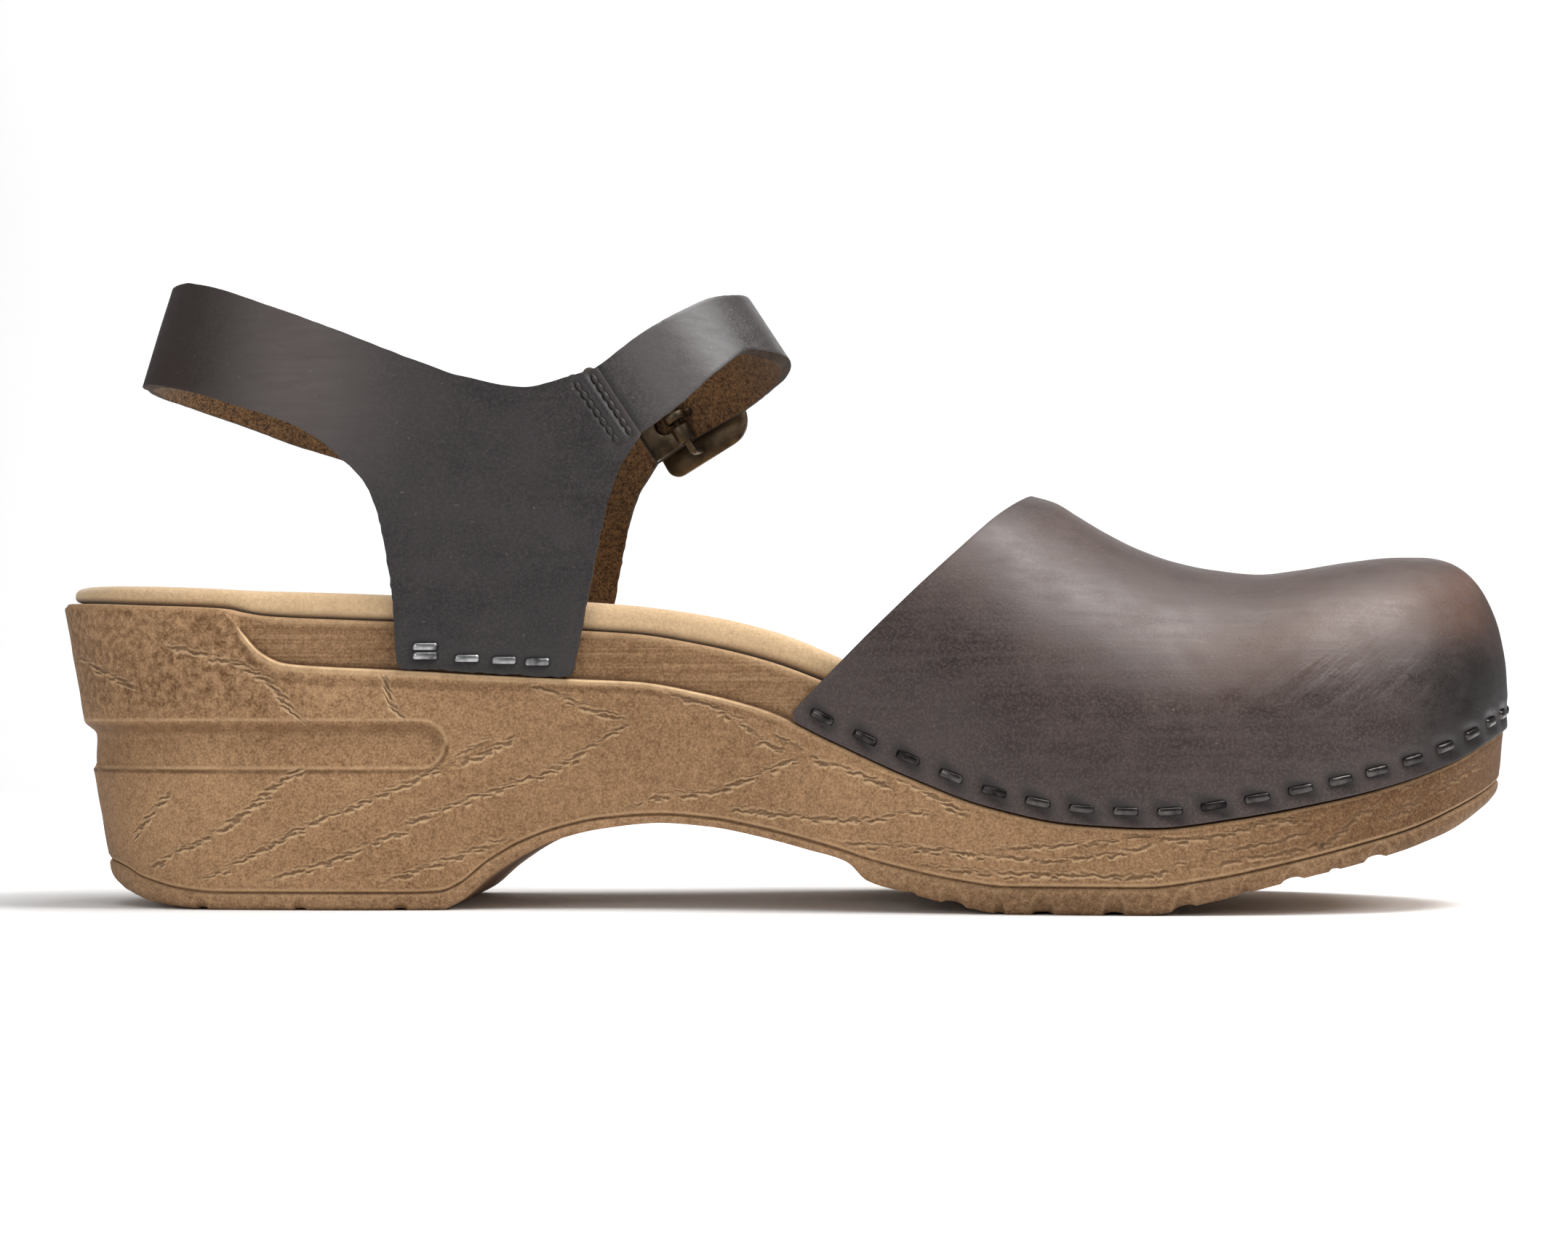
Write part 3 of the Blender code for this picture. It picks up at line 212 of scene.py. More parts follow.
# Wood grain on the sole's side: lines of short cracks, by their x and z in millimetres
GRAIN_CHAINS = (
    ((19.4, 7.7), (33.7, 13.6), (42.9, 21.1), (47.0, 23.9)),
    ((30.9, 5.4), (39.7, 9.9), (49.5, 15.1), (59.2, 18.7), (69.1, 23.2), (78.5, 28.6)),
    ((42.4, 5.2), (51.7, 8.3), (64.7, 13.2)),
    ((66.3, 15.1), (77.3, 19.6), (90.3, 24.0), (96.4, 27.6), (103.5, 32.2)),
    ((87.7, 38.0), (96.4, 34.2), (103.0, 32.4)),
    ((60.3, 4.1), (72.9, 9.0), (81.1, 11.8), (90.3, 14.3)),
    ((15.6, 12.9), (22.2, 19.1)),
    ((26.5, 44.6), (37.5, 41.8), (42.9, 38.5), (47.9, 32.0)),
    ((6.5, 42.6), (16.7, 38.5)),
    ((62.0, 40.0), (62.6, 36.0), (64.7, 32.5)),
    ((72.6, 24.6), (76.4, 25.8), (82.0, 28.6)),
    ((98.6, 16.1), (108.4, 19.6), (117.2, 20.0), (125.9, 23.8), (132.5, 26.5)),
    ((110.5, 37.0), (115.0, 35.5), (121.5, 32.5), (124.8, 28.9), (131.9, 26.5)),
    ((121.0, 17.2), (131.9, 16.1), (142.2, 15.6), (151.4, 17.0)),
    ((136.3, 11.9), (151.4, 11.0), (160.6, 10.1), (169.0, 9.6)),
    ((143.3, 25.4), (151.4, 21.1), (158.0, 17.6)),
    ((151.1, 7.9), (162.9, 6.8), (174.0, 7.0), (187.0, 6.6), (192.0, 7.4)),
    ((171.6, 8.9), (179.8, 10.0), (186.2, 10.9), (190.2, 12.3)),
    ((193.0, 8.4), (200.0, 9.2)),
    ((199.4, 11.2), (206.2, 11.6), (213.6, 13.2)),
    ((207.0, 15.8), (214.0, 16.0)),
    ((218.8, 12.2), (221.4, 13.8), (223.1, 16.3), (226.5, 17.4)),
    ((230.6, 16.4), (234.3, 18.7)),
    ((239.0, 21.0), (246.0, 24.0)),
    ((128.0, 29.5), (136.0, 25.4), (146.0, 21.6)),
    ((164.0, 10.8), (174.0, 11.6), (184.0, 12.4)),
    ((186.0, 13.4), (196.0, 12.6), (205.0, 14.2)),
    ((196.0, 8.0), (206.0, 9.6), (216.0, 11.4)),
    ((226.0, 20.4), (233.0, 22.4), (240.0, 25.6)),
)

# Rows of stitches at the medial arm's end: first and last hole in x and z
STITCH_ROWS = ((93.9, 89.4, 101.3, 79.0), (96.7, 90.6, 103.4, 80.5))

# Soft creases on the vamp's sides: ends in x and z, depth and half width in millimetres
CREASES = (
    (206.0, 37.0, 214.5, 43.5, 0.10, 1.2),
    (209.5, 34.0, 218.8, 41.5, 0.15, 1.0),
    (214.0, 32.0, 222.5, 39.0, 0.14, 0.9),
    (218.5, 30.5, 228.8, 39.5, 0.17, 0.9),
    (222.0, 30.5, 233.0, 41.0, 0.17, 0.8),
    (226.0, 31.0, 236.5, 41.5, 0.15, 0.8),
    (230.0, 33.0, 239.0, 41.5, 0.11, 0.8),
    (200.0, 33.0, 208.0, 39.0, 0.10, 1.2),
    (236.0, 31.0, 239.0, 38.0, 0.18, 0.9),
    (243.0, 33.0, 245.0, 41.0, 0.18, 0.9),
)


def ease(low: float, high: float, x: Array) -> Array:
    """Smooth step: 0 below low, 1 above high, 3t2 - 2t3 between."""
    t = np.clip((np.asarray(x, float) - low) / (high - low), 0.0, 1.0)
    return t * t * (3 - 2 * t)


def unit(vectors: Array) -> Array:
    """Vectors of length one along the last axis."""
    return vectors / np.maximum(np.linalg.norm(vectors, axis=-1, keepdims=True), 1e-12)


def bell(x: Array, half: float) -> Array:
    """Bell exp(-(x / half)2)."""
    return np.exp(-((x / half) ** 2))


def signed(values: Array, power: float) -> Array:
    """Sizes raised to a power, with their signs kept."""
    return np.sign(values) * np.abs(values) ** power


def rounded_profile(points: int, power: float) -> Array:
    """Superellipse of points from -1 to 1 in both axes: the higher the power, the squarer."""
    angle = np.linspace(0.0, 2 * math.pi, points, endpoint=False)
    return signed(np.stack([np.cos(angle), np.sin(angle)], 1), 2 / power)


def value_noise(points: Array, cell: float, seed: int) -> Array:
    """Smooth value noise from -1 to 1: random corner values, eased between, on cells of one size.

    Args:
        points: Array [..., d] of positions, d being 2 or 3.
        cell: Cell size in the units of points.
        seed: Seed of the corner values.

    Returns:
        Array [...] of noise.
    """
    corners = np.random.default_rng(seed).uniform(-1, 1, 4096)
    scaled = points / cell
    base = np.floor(scaled).astype(np.int64)
    part = scaled - base
    part = part * part * (3 - 2 * part)
    primes = np.array([73856093, 19349663, 83492791])[: points.shape[-1]]
    total = np.zeros(points.shape[:-1])
    for corner in np.ndindex(*(2,) * points.shape[-1]):
        step = np.array(corner)
        weight = np.where(step == 1, part, 1 - part).prod(axis=-1)
        total = total + weight * corners[((base + step) * primes).sum(axis=-1) % len(corners)]
    return total


def ripple(cell: float, seed: int, *axes: Array) -> Array:
    """Value noise over coordinates that are given one by one and spread to one shape."""
    return value_noise(np.stack(np.broadcast_arrays(*axes), -1), cell, seed)


def beside_line(x: Array, z: Array, ends: Sequence[float]) -> tuple[Array, Array, float]:
    """Place beside a straight line in the side view: dot and cross product with its direction.

    Args:
        x: Stations.
        z: Heights.
        ends: The line's first x and z, then its last ones.

    Returns:
        Distance along the line, distance across it, and its length.
    """
    x0, z0, x1, z1 = ends
    length = math.hypot(x1 - x0, z1 - z0)
    cos, sin = (x1 - x0) / length, (z1 - z0) / length
    return (x - x0) * cos + (z - z0) * sin, (z - z0) * cos - (x - x0) * sin, length


class SmoothCurve:
    """Monotone cubic through knots: at each knot the grade is the harmonic mean of the slopes beside it."""

    def __init__(self, knots: Sequence[float], values: Sequence[float]) -> None:
        """Works out the grades.

        Args:
            knots: Rising knot positions.
            values: Value at each knot.
        """
        self.knots = np.asarray(knots, float)
        self.values = np.asarray(values, float)
        self.step = np.diff(self.knots)
        slope = np.diff(self.values) / self.step
        before = 2 * self.step[1:] + self.step[:-1]
        after = self.step[1:] + 2 * self.step[:-1]
        same = slope[:-1] * slope[1:] > 0
        left = np.where(same, slope[:-1], 1.0)
        right = np.where(same, slope[1:], 1.0)
        mean = np.where(same, (before + after) / (before / left + after / right), 0.0)
        self.grades = np.concatenate([slope[:1], mean, slope[-1:]])

    def __call__(self, x: Array) -> Array:
        """Value of the cubic at x, held at both ends.

        Args:
            x: Positions.

        Returns:
            Array of the same shape.
        """
        x = np.clip(np.asarray(x, float), self.knots[0], self.knots[-1])
        i = np.clip(np.searchsorted(self.knots, x) - 1, 0, len(self.knots) - 2)
        h = self.step[i]
        t = (x - self.knots[i]) / h
        start = (1 + 2 * t) * (1 - t) ** 2 * self.values[i] + t * (1 - t) ** 2 * h * self.grades[i]
        end = t * t * (3 - 2 * t) * self.values[i + 1] + t * t * (t - 1) * h * self.grades[i + 1]
        return start + end


def curves(rows: Sequence[NamedTuple]) -> dict[str, SmoothCurve]:
    """A smooth curve for each named column of a table against its first column."""
    first, *columns = zip(*rows)
    return {name: SmoothCurve(first, column) for name, column in zip(rows[0]._fields[1:], columns)}


class Draft:
    """Points, faces and point marks of one piece, gathered grid by grid."""

    def __init__(self) -> None:
        """Starts empty."""
        self.points: list[Array] = []
        self.faces: list[Array] = []
        self.marks: dict[str, list[Array]] = {}
        self.count = 0

    def add(self, points: Array, **marks: Array) -> Array:
        """Adds points.

        Args:
            points: Array [..., 3] in the last frame.
            marks: Numbers for each point, by attribute name.

        Returns:
            Index of each point, in the shape of points without its last axis.
        """
        flat = points.reshape(-1, 3)
        index = self.count + np.arange(len(flat)).reshape(points.shape[:-1])
        for name in sorted({*self.marks, *marks}):
            kept = self.marks.setdefault(name, [np.zeros(self.count)])
            kept.append(np.broadcast_to(marks.get(name, 0.0), points.shape[:-1]).reshape(-1))
        self.points.append(flat)
        self.count += len(flat)
        return index

    def quads(self, index: Array, wrap: bool = False, flip: bool = False) -> None:
        """Adds the quads of an index grid.

        Args:
            index: Array [row, column]. Rows going up and columns going right face the viewer.
            wrap: Joins the last column to the first.
            flip: Turns the faces round.
        """
        here = index if wrap else index[:, :-1]
        after = np.roll(index, -1, axis=1) if wrap else index[:, 1:]
        made = np.stack([here[:-1], after[:-1], after[1:], here[1:]], -1).reshape(-1, 4)
        self.faces.append(made[:, ::-1] if flip else made)

    def sweep(self, path: Array, across: Array, over: Array, profile: Array, closed: bool = False) -> None:
        """Carries a closed profile along a path: point = path + p0 across + p1 over. A flat end is a fan.

        Args:
            path: Array [step, 3].
            across: Direction of the profile's first axis, scaled, for each step or for all.
            over: Direction of its second axis, likewise.
            profile: Array [point, 2], going round.
            closed: Joins the path's end to its start instead of closing both ends.
        """
        across, over = (np.broadcast_to(axis, path.shape)[:, None] for axis in (across, over))
        rings = path[:, None] + profile[:, :1] * across + profile[:, 1:] * over
        index = self.add(rings)
        self.quads(np.concatenate([index, index[:1]]) if closed else index, wrap=True)
        for end in () if closed else (0, -1):
            centre = self.add(rings[end].mean(axis=0)[None])
            loop = np.append(index[end], index[end, 0])
            self.quads(np.stack([loop, np.full(len(loop), centre[0])]), flip=end == 0)

    def turn(self, origin: Array, *axes: Array) -> None:
        """Takes all points from a place's own axes to the last frame: origin + p0 a0 + p1 a1 + p2 a2."""
        self.points = [origin + points @ np.array(axes) for points in self.points]

    def build(self, name: str, materials: Sequence[bpy.types.Material]) -> Piece:
        """Makes the object, in metres in the row frame, with repeated corners of a quad left out.

        Args:
            name: Name of the piece.
            materials: Its material slots.

        Returns:
            The linked object.
        """
        points = (np.concatenate(self.points) - np.array(LAST_ORIGIN)) * MM
        faces = np.concatenate(self.faces)
        same = faces == np.roll(faces, -1, axis=1)
        whole = ~same.any(axis=1)
        cut = [face[~gap].tolist() for face, gap in zip(faces[~whole], same[~whole])]
        mesh = bpy.data.meshes.new(name)
        mesh.from_pydata(points.tolist(), [], faces[whole].tolist() + cut)
        mesh.polygons.foreach_set("use_smooth", np.ones(len(faces), bool))
        for mark, parts in self.marks.items():
            layer = mesh.attributes.new(mark, "FLOAT", "POINT")
            layer.data.foreach_set("value", np.concatenate(parts).astype(np.float32))
        for material in materials:
            mesh.materials.append(material)
        mesh.update()
        return link(name, mesh)


def link(name: str, data: bpy.types.ID) -> bpy.types.Object:
    """Puts a mesh, light or camera into the scene.

    Args:
        name: Name of the object.
        data: What it shows.

    Returns:
        The new object.
    """
    obj = bpy.data.objects.new(name, data)
    bpy.context.scene.collection.objects.link(obj)
    return obj


def bake(obj: Piece, sharp_deg: float) -> Piece:
    """Turns a piece's modifiers into its mesh and keeps edges sharper than an angle crisp.

    Args:
        obj: The piece.
        sharp_deg: The angle between two faces, in degrees.

    Returns:
        The same piece.
    """
    graph = bpy.context.evaluated_depsgraph_get()
    graph.update()
    solid = obj.evaluated_get(graph)
    made = bpy.data.meshes.new_from_object(solid, preserve_all_data_layers=True, depsgraph=graph)
    obj.modifiers.clear()
    before = obj.data
    obj.data = made
    bpy.data.meshes.remove(before)
    made.set_sharp_from_angle(angle=math.radians(sharp_deg))
    return obj


def seat(obj: Piece, slot: str, *nodes: str) -> Piece:
    """Lets a piece ride on the part and hides the CAD nodes it stands for.

    Args:
        obj: The finished piece.
        slot: Material slot of the record; not used.
        nodes: CAD nodes that it replaces.

    Returns:
        The same piece.
    """
    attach(obj, "root")
    if nodes:
        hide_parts(*nodes)
    LOG.info("%s: %d faces", obj.name, len(obj.data.polygons))
    return obj


def round_edges(obj: Piece, width_mm: float, from_deg: float) -> None:
    """Adds a Bevel modifier of two segments to edges sharper than an angle.

    Args:
        obj: The piece.
        width_mm: Width of the rounding.
        from_deg: The angle, in degrees.
    """
    arris = obj.modifiers.new("arris", "BEVEL")
    arris.width = width_mm * MM
    arris.segments = 2
    arris.limit_method = "ANGLE"
    arris.angle_limit = math.radians(from_deg)


def scaled(colour: Colour, factor: float, lift: float = 0.0) -> Colour:
    """A colour times a factor, plus a lift."""
    return tuple(factor * c + lift for c in colour)


class Tone:
    """Output of a shader node that takes sums and products, each through a Math node."""

    def __init__(self, paint: "Paint", socket: bpy.types.NodeSocket) -> None:
        """Keeps the socket and the finish that it is part of."""
        self.paint = paint
        self.socket = socket

    def join(self, operation: str, other: object = 0.0) -> "Tone":
        """This tone and another one or a number, joined by an operation."""
        return self.paint.node("Math", {0: self, 1: other}, 0, operation=operation)

    def __add__(self, other: object) -> "Tone":
        """Sum."""
        return self.join("ADD", other)

    def __sub__(self, other: object) -> "Tone":
        """Difference."""
        return self.join("SUBTRACT", other)

    def __mul__(self, other: object) -> "Tone":
        """Product."""
        return self.join("MULTIPLY", other)

    def __truediv__(self, other: object) -> "Tone":
        """Quotient."""
        return self.join("DIVIDE", other)

    def __abs__(self) -> "Tone":
        """Size without its sign."""
        return self.join("ABSOLUTE")

    def most(self, other: object) -> "Tone":
        """The larger of two."""
        return self.join("MAXIMUM", other)

    def span(self, low: float, high: float, start: float = 0.0, end: float = 1.0) -> "Tone":
        """Maps low..high to start..end and holds the ends."""
        limits = {"From Min": low, "From Max": high, "To Min": start, "To Max": end}
        return self.paint.node("MapRange", {"Value": self, **limits}, "Result")

    def ridge(self, middle: float, half: float) -> "Tone":
        """1 round a middle value, falling to 0 half a width away."""
        return abs(self - middle).span(0.3 * half, half, 1.0, 0.0)


class Paint:
    """Node tree of one procedural finish on Object coordinates."""

    def __init__(self, name: str) -> None:
        """Makes the material with its shader and a coordinate node.

        Args:
            name: Name of the material.
        """
        self.material = bpy.data.materials.new(name)
        self.material.use_nodes = True
        self.tree = self.material.node_tree
        self.shader = self.tree.nodes["Principled BSDF"]
        self.place = self.node("TexCoord", {}, "Object")

    def feed(self, socket: bpy.types.NodeSocket, value: object) -> None:
        """Links a socket to a tone, or sets its value.

        Args:
            socket: The socket.
            value: A tone, a number, a colour or a vector.
        """
        if isinstance(value, Tone):
            self.tree.links.new(value.socket, socket)
        elif isinstance(value, tuple) and socket.type == "RGBA":
            socket.default_value = (*value, 1.0)
        else:
            socket.default_value = value

    def node(self, kind: str, inputs: dict, output: int | str, **settings: object) -> Tone:
        """Adds a node.

        Args:
            kind: Its type, without the first part that all share.
            inputs: What its sockets take, by name or number.
            output: Name or number of the socket that is used.
            settings: Its other settings.

        Returns:
            Tone of that socket.
        """
        made = self.tree.nodes.new("ShaderNode" + kind)
        for name, value in settings.items():
            setattr(made, name, value)
        for name, value in inputs.items():
            self.feed(made.inputs[name], value)
        return Tone(self, made.outputs[output])

    def surface(self, **values: object) -> bpy.types.Material:
        """Sets or links sockets of the shader.

        Args:
            values: What they take, by name with underscores for spaces.

        Returns:
            The material.
        """
        for name, value in values.items():
            self.feed(self.shader.inputs[name.replace("_", " ")], value)
        return self.material

    def noise(
        self,
        scale: float,
        detail: float = 2.0,
        stretch: Colour = (1.0, 1.0, 1.0),
        turn: float | None = None,
    ) -> Tone:
        """Noise from about 0 to 1.

        Args:
            scale: Cells per metre.
            detail: Octaves.
            stretch: Scale of each axis, or the length of a cell along each axis where it is turned.
            turn: Turn of the axes about y, in radians.

        Returns:
            The noise.
        """
        kind = "POINT" if turn is None else "TEXTURE"
        axes = {"Vector": self.place, "Rotation": (0.0, turn or 0.0, 0.0), "Scale": stretch}
        moved = self.node("Mapping", axes, "Vector", vector_type=kind)
        return self.node("TexNoise", {"Vector": moved, "Scale": scale, "Detail": detail}, 0)

    def cells(self, scale: float) -> Tone:
        """Distance to the nearest of scattered points, scale points per metre."""
        return self.node("TexVoronoi", {"Vector": self.place, "Scale": scale}, "Distance")

    def mix(self, share: object, a: object, b: object) -> Tone:
        """Colour between a and b."""
        return self.node("Mix", {0: share, 6: a, 7: b}, 2, data_type="RGBA")

    def mark(self, name: str) -> Tone:
        """A point attribute of the piece."""
        return self.node("Attribute", {}, "Fac", attribute_name=name)

    def chance(self, value: Tone, phase: float) -> Tone:
        """Random number from 0 to 1 for each whole value."""
        return self.node("TexWhiteNoise", {"W": value + 31.7 * phase}, "Value", noise_dimensions="1D")

    def bump(self, height: Tone, strength: float, depth_mm: float, under: Tone | None = None) -> Tone:
        """Bump from a height, on top of another one where given."""
        inputs = {"Height": height, "Strength": strength, "Distance": depth_mm * MM}
        return self.node("Bump", inputs if under is None else {**inputs, "Normal": under}, "Normal")


@dataclass(frozen=True)
class LeatherFinish:
    """Smooth leather: dark base with handled and burnished tones, fine grain, brush lines and specks, with
    painted highlight and painted shade laid on by point marks.
    """

    name: str
    deep: Colour
    # Burnished tone; on the vamp it is also painted highlight on upward faces
    handled: Colour
    # Worn tone on the vamp's toe; painted highlight on the quarter and ankle strap
    burnish_highlight_tone: Colour
    worn: Colour
    # Colour of the painted shade on crests, noses, dents, seams and hems
    dusk: Colour
    roughness: tuple[float, float]
    grain: float
    brush: float
    gloss: float
    scuff: Colour = (0.20, 0.165, 0.13)
    crease_turn: float = -0.72

    def make(self) -> bpy.types.Material:
        """Builds the material: tones laid over one another, then folds, brush lines and grain as bump.

        Returns:
            The material.
        """
        paint = Paint(self.name)
        cloud = paint.noise(38.0, 3.0).span(0.35, 0.68)
        brush = paint.noise(95.0, 4.0, (0.35, 5.0, 9.0))
        grain = paint.noise(2300.0, 3.0)
        patch = paint.noise(150.0, 5.0)
        base = paint.mix(cloud, self.deep, self.handled)
        base = paint.mix(patch.span(0.45, 0.75, 0.0, 0.5), base, scaled(self.handled, 1.7))
        base = paint.mix(grain.span(0.42, 0.72, 0.0, 0.6), base, scaled(self.handled, 2.7))
        # Wear on the vamp's toe and painted highlight on the straps
        base = paint.mix(paint.mark("worn"), base, self.worn)
        # Burnish, and on the vamp painted highlight: lighter where the mark is set
        base = paint.mix(paint.mark("burnish") * brush.span(0.2, 0.8, 0.6, 1.0), base, self.burnish_highlight_tone)
        base = paint.mix(brush.span(0.45, 0.8, 0.0, self.brush), base, scaled(self.deep, 2.2, 0.01))
        # Painted shade: darker where the mark is set
        base = paint.mix(paint.mark("dusk"), base, self.dusk)
        specks = paint.noise(1300.0, 1.0).span(0.77, 0.81, 0.0, 0.4)
        scuffs = paint.noise(620.0, 2.0, (0.7, 1.0, 1.5)).span(0.72, 0.78, 0.0, 0.14)
        base = paint.mix(scuffs.most(specks), base, self.scuff)
        pores = paint.cells(1700.0).span(0.0, 0.35, 0.0, 0.25)
        folds = paint.noise(760.0, 3.0, (9.0, 3.0, 1.0), self.crease_turn) * paint.mark("crease")
        lines = paint.bump(brush, 0.50, 0.06, paint.bump(folds, 0.9, 0.5))
        return paint.surface(
            Base_Color=base,
            Roughness=(brush + patch + grain).span(1.15, 1.85, *self.roughness),
            Specular_IOR_Level=self.gloss,
            Normal=paint.bump(grain + pores, self.grain, 0.07, lines),
        )


@dataclass(frozen=True)
class SuedeFinish:
    """Napped or raw flesh side: coarse and fine fibre noise in two tones."""

    name: str
    dark: Colour
    light: Colour
    contrast: float
    depth: float
    sheen: float

    def make(self) -> bpy.types.Material:
        """Builds the material: two tones by the fibre noise, darker patches and painted shade in gaps.

        Returns:
            The material.
        """
        paint = Paint(self.name)
        fibre = paint.noise(2600.0, 4.0) * 0.6 + paint.noise(1150.0, 3.0) * 0.4
        spread = 0.17 / self.contrast
        base = paint.mix(fibre.span(0.5 - spread, 0.5 + spread), self.dark, self.light)
        base = paint.mix(paint.noise(60.0, 2.0).span(0.4, 0.7, 0.0, 0.35), base, self.dark)
        # Painted shade: darker where the mark is set
        base = paint.mix(paint.mark("soil") * 0.75, base, scaled(self.dark, 0.45))
        return paint.surface(
            Base_Color=base,
            Roughness=0.95,
            Sheen_Weight=self.sheen,
            Sheen_Roughness=0.5,
            Specular_IOR_Level=0.2,
            Normal=paint.bump(fibre, 0.8, self.depth),
        )


@dataclass(frozen=True)
class MouldedFinish:
    """Moulded sole: speckled tan, edges with painted highlight, and grain lines drawn as chains of short flat
    cracks.
    """

    name: str
    dark: Colour
    light: Colour
    # Colour of the painted shadow in the cracks
    crack: Colour
    # Colour of painted highlights on edges and lips, and of pale band lines
    pale: Colour
    # Colour of the stain and of the painted shade
    stain: Colour
    speckle: float = 0.62
    pitch: float = 3.6
    flatter: float = 0.46
    crack_width: float = 0.17

    def cracks(self, paint: Paint) -> tuple[Tone, Tone]:
        """Cracks along the grain lines and the pale lips below and above them; the finish paints shadow in
        the cracks and highlight on the lips.

        Rows of cracks, half a pitch apart, each lie flatter than their line: the distance to a crack is the
        distance across the line plus a share of the line's slope times the place in the pitch, moved a
        little at random. A crack is widest in its middle.

        Args:
            paint: Node tree to add to.

        Returns:
            The cracks and the lips, from 0 to 1.
        """
        run = paint.mark("grain_run") + paint.noise(120.0, 1.0) * 4.0
        off = paint.mark("grain_off") + (paint.noise(620.0, 4.0) - 0.5) * 1.5
        lean = paint.mark("grain_lean") * self.flatter
        crack = lip = None
        for phase, pitch, spread in ((0.0, 1.0, 0.5), (0.5, 1.0, 0.9), (0.3, 0.5, 1.8)):
            pitch *= self.pitch
            cell = run / pitch + phase
            part = cell.join("FRACT") - 0.5
            chance = paint.chance(cell.join("FLOOR"), phase)
            distance = off + lean * (part * pitch) + (chance - 0.5) * spread
            share = abs(part).span(0.28, 0.5, 1.0, 0.0) * chance.span(0.05, 0.45, 0.3, 1.0)
            apart = distance / (share * self.crack_width + 0.02)
            line = abs(apart).span(0.5, 1.3, 1.0, 0.0) * share
            below = abs(apart + 2.3).span(0.4, 1.8, 1.0, 0.0)
            above = abs(apart - 2.2).span(0.3, 1.4, 0.6, 0.0)
            beside = below.most(above) * share
            crack = crack.most(line) if crack else line
            lip = lip.most(beside) if lip else beside
        near = paint.mark("grain_near")
        return crack * near, lip * near

    def cove_lines(self, paint: Paint) -> list[tuple[Colour, Tone]]:
        """Lines beside the cove's edge: a painted highlight on the lip over painted shade inside above, and
        below a painted highlight over a line of painted shade.

        Args:
            paint: Node tree to add to.

        Returns:
            Colour and share of each line.
        """
        off = paint.mark("cove_off")
        upper, lower = paint.mark("cove_upper"), paint.mark("cove_lower")
        rough = paint.noise(260.0, 3.0).span(0.3, 0.62, 0.45, 1.0)
        lines = (
            (self.stain, upper, -1.3, 1.35, 0.55),
            (self.pale, upper, 0.22, 0.4, 0.30),
            (self.stain, lower, 0.36, 0.5, 0.8),
            (self.pale, lower, -0.3, 0.4, 0.34),
        )
        return [
            (tint, off.ridge(middle, half) * edge * (rough * amount))
            for tint, edge, middle, half, amount in lines
        ]

    def make(self) -> bpy.types.Material:
        """Builds the material: speckle, band lines, stain with painted shade, painted highlight on edges,
        cove lines, lips, cracks and painted shade in gaps.

        Returns:
            The material.
        """
        paint = Paint(self.name)
        grit = paint.noise(2700.0, 5.0)
        coarse = (paint.noise(820.0, 3.0) - 0.5) * paint.mark("mottle").span(0.0, 1.0, 1.0, 2.8)
        slow = (paint.noise(40.0, 2.0) - 0.5) * 0.9
        tone = grit.span(0.25, 0.75, 0.5 - self.speckle, 0.5 + self.speckle) + coarse + slow
        lines = paint.noise(270.0, 3.0, (0.10, 1.0, 9.0))
        band, stain = paint.mark("band"), paint.mark("stain")
        ragged = paint.noise(420.0, 3.0).span(0.3, 0.6, 0.55, 1.0)
        crack, lip = self.cracks(paint)
        base = paint.mix(tone.span(-0.3, 1.3), self.dark, self.light)
        base = paint.mix(band * lines.span(0.52, 0.68, 0.0, 0.40), base, self.dark)
        base = paint.mix(band * lines.span(0.32, 0.48, 0.30, 0.0), base, self.pale)
        # Stain and painted shade: darker where the mark is set
        base = paint.mix(stain * tone.span(0.0, 1.0, 1.22, 0.78), base, self.stain)
        # Painted highlight on the ledge, rim and edges
        base = paint.mix(paint.mark("pale") * ragged, base, self.pale)
        # Painted highlight and painted shade at the cove's edges
        for tint, share in self.cove_lines(paint):
            base = paint.mix(share, base, tint)
        # Painted highlight on the lips, weaker where stain and shade are set
        base = paint.mix(lip * stain.span(0.1, 0.7, 0.56, 0.14), base, self.pale)
        # Painted shadow in the cracks
        base = paint.mix(crack * 0.78, base, self.crack)
        # Painted shade in the corner at the band wall's foot
        base = paint.mix(paint.mark("soil"), base, scaled(self.dark, 0.4))
        waves = paint.bump(paint.noise(240.0, 2.0), 0.2, 0.2, paint.bump(grit + coarse, 0.30, 0.10))
        return paint.surface(
            Base_Color=base,
            Roughness=grit.span(0.3, 0.7, 0.62, 0.80),
            Specular_IOR_Level=0.22,
            Normal=paint.bump(lip * 0.45 - crack, 0.8, 0.22, waves),
        )


@dataclass(frozen=True)
class MetalFinish:
    """Metal with darker tarnish in patches and fine scratches."""

    name: str
    bright: Colour
    tarnish: Colour
    roughness: tuple[float, float]
    patch: float

    def make(self) -> bpy.types.Material:
        """Builds the material: tarnish by a cloud noise, scratches as bump.

        Returns:
            The material.
        """
        paint = Paint(self.name)
        cloud = paint.noise(330.0, 4.0).span(0.36, 0.66)
        scratch = paint.noise(420.0, 3.0, (0.3, 1.0, 6.0))
        return paint.surface(
            Base_Color=paint.mix(cloud * self.patch, self.bright, self.tarnish),
            Metallic=1.0,
            Roughness=(cloud + scratch).span(0.3, 1.5, *self.roughness),
            Normal=paint.bump(scratch, 0.25, 0.04),
        )


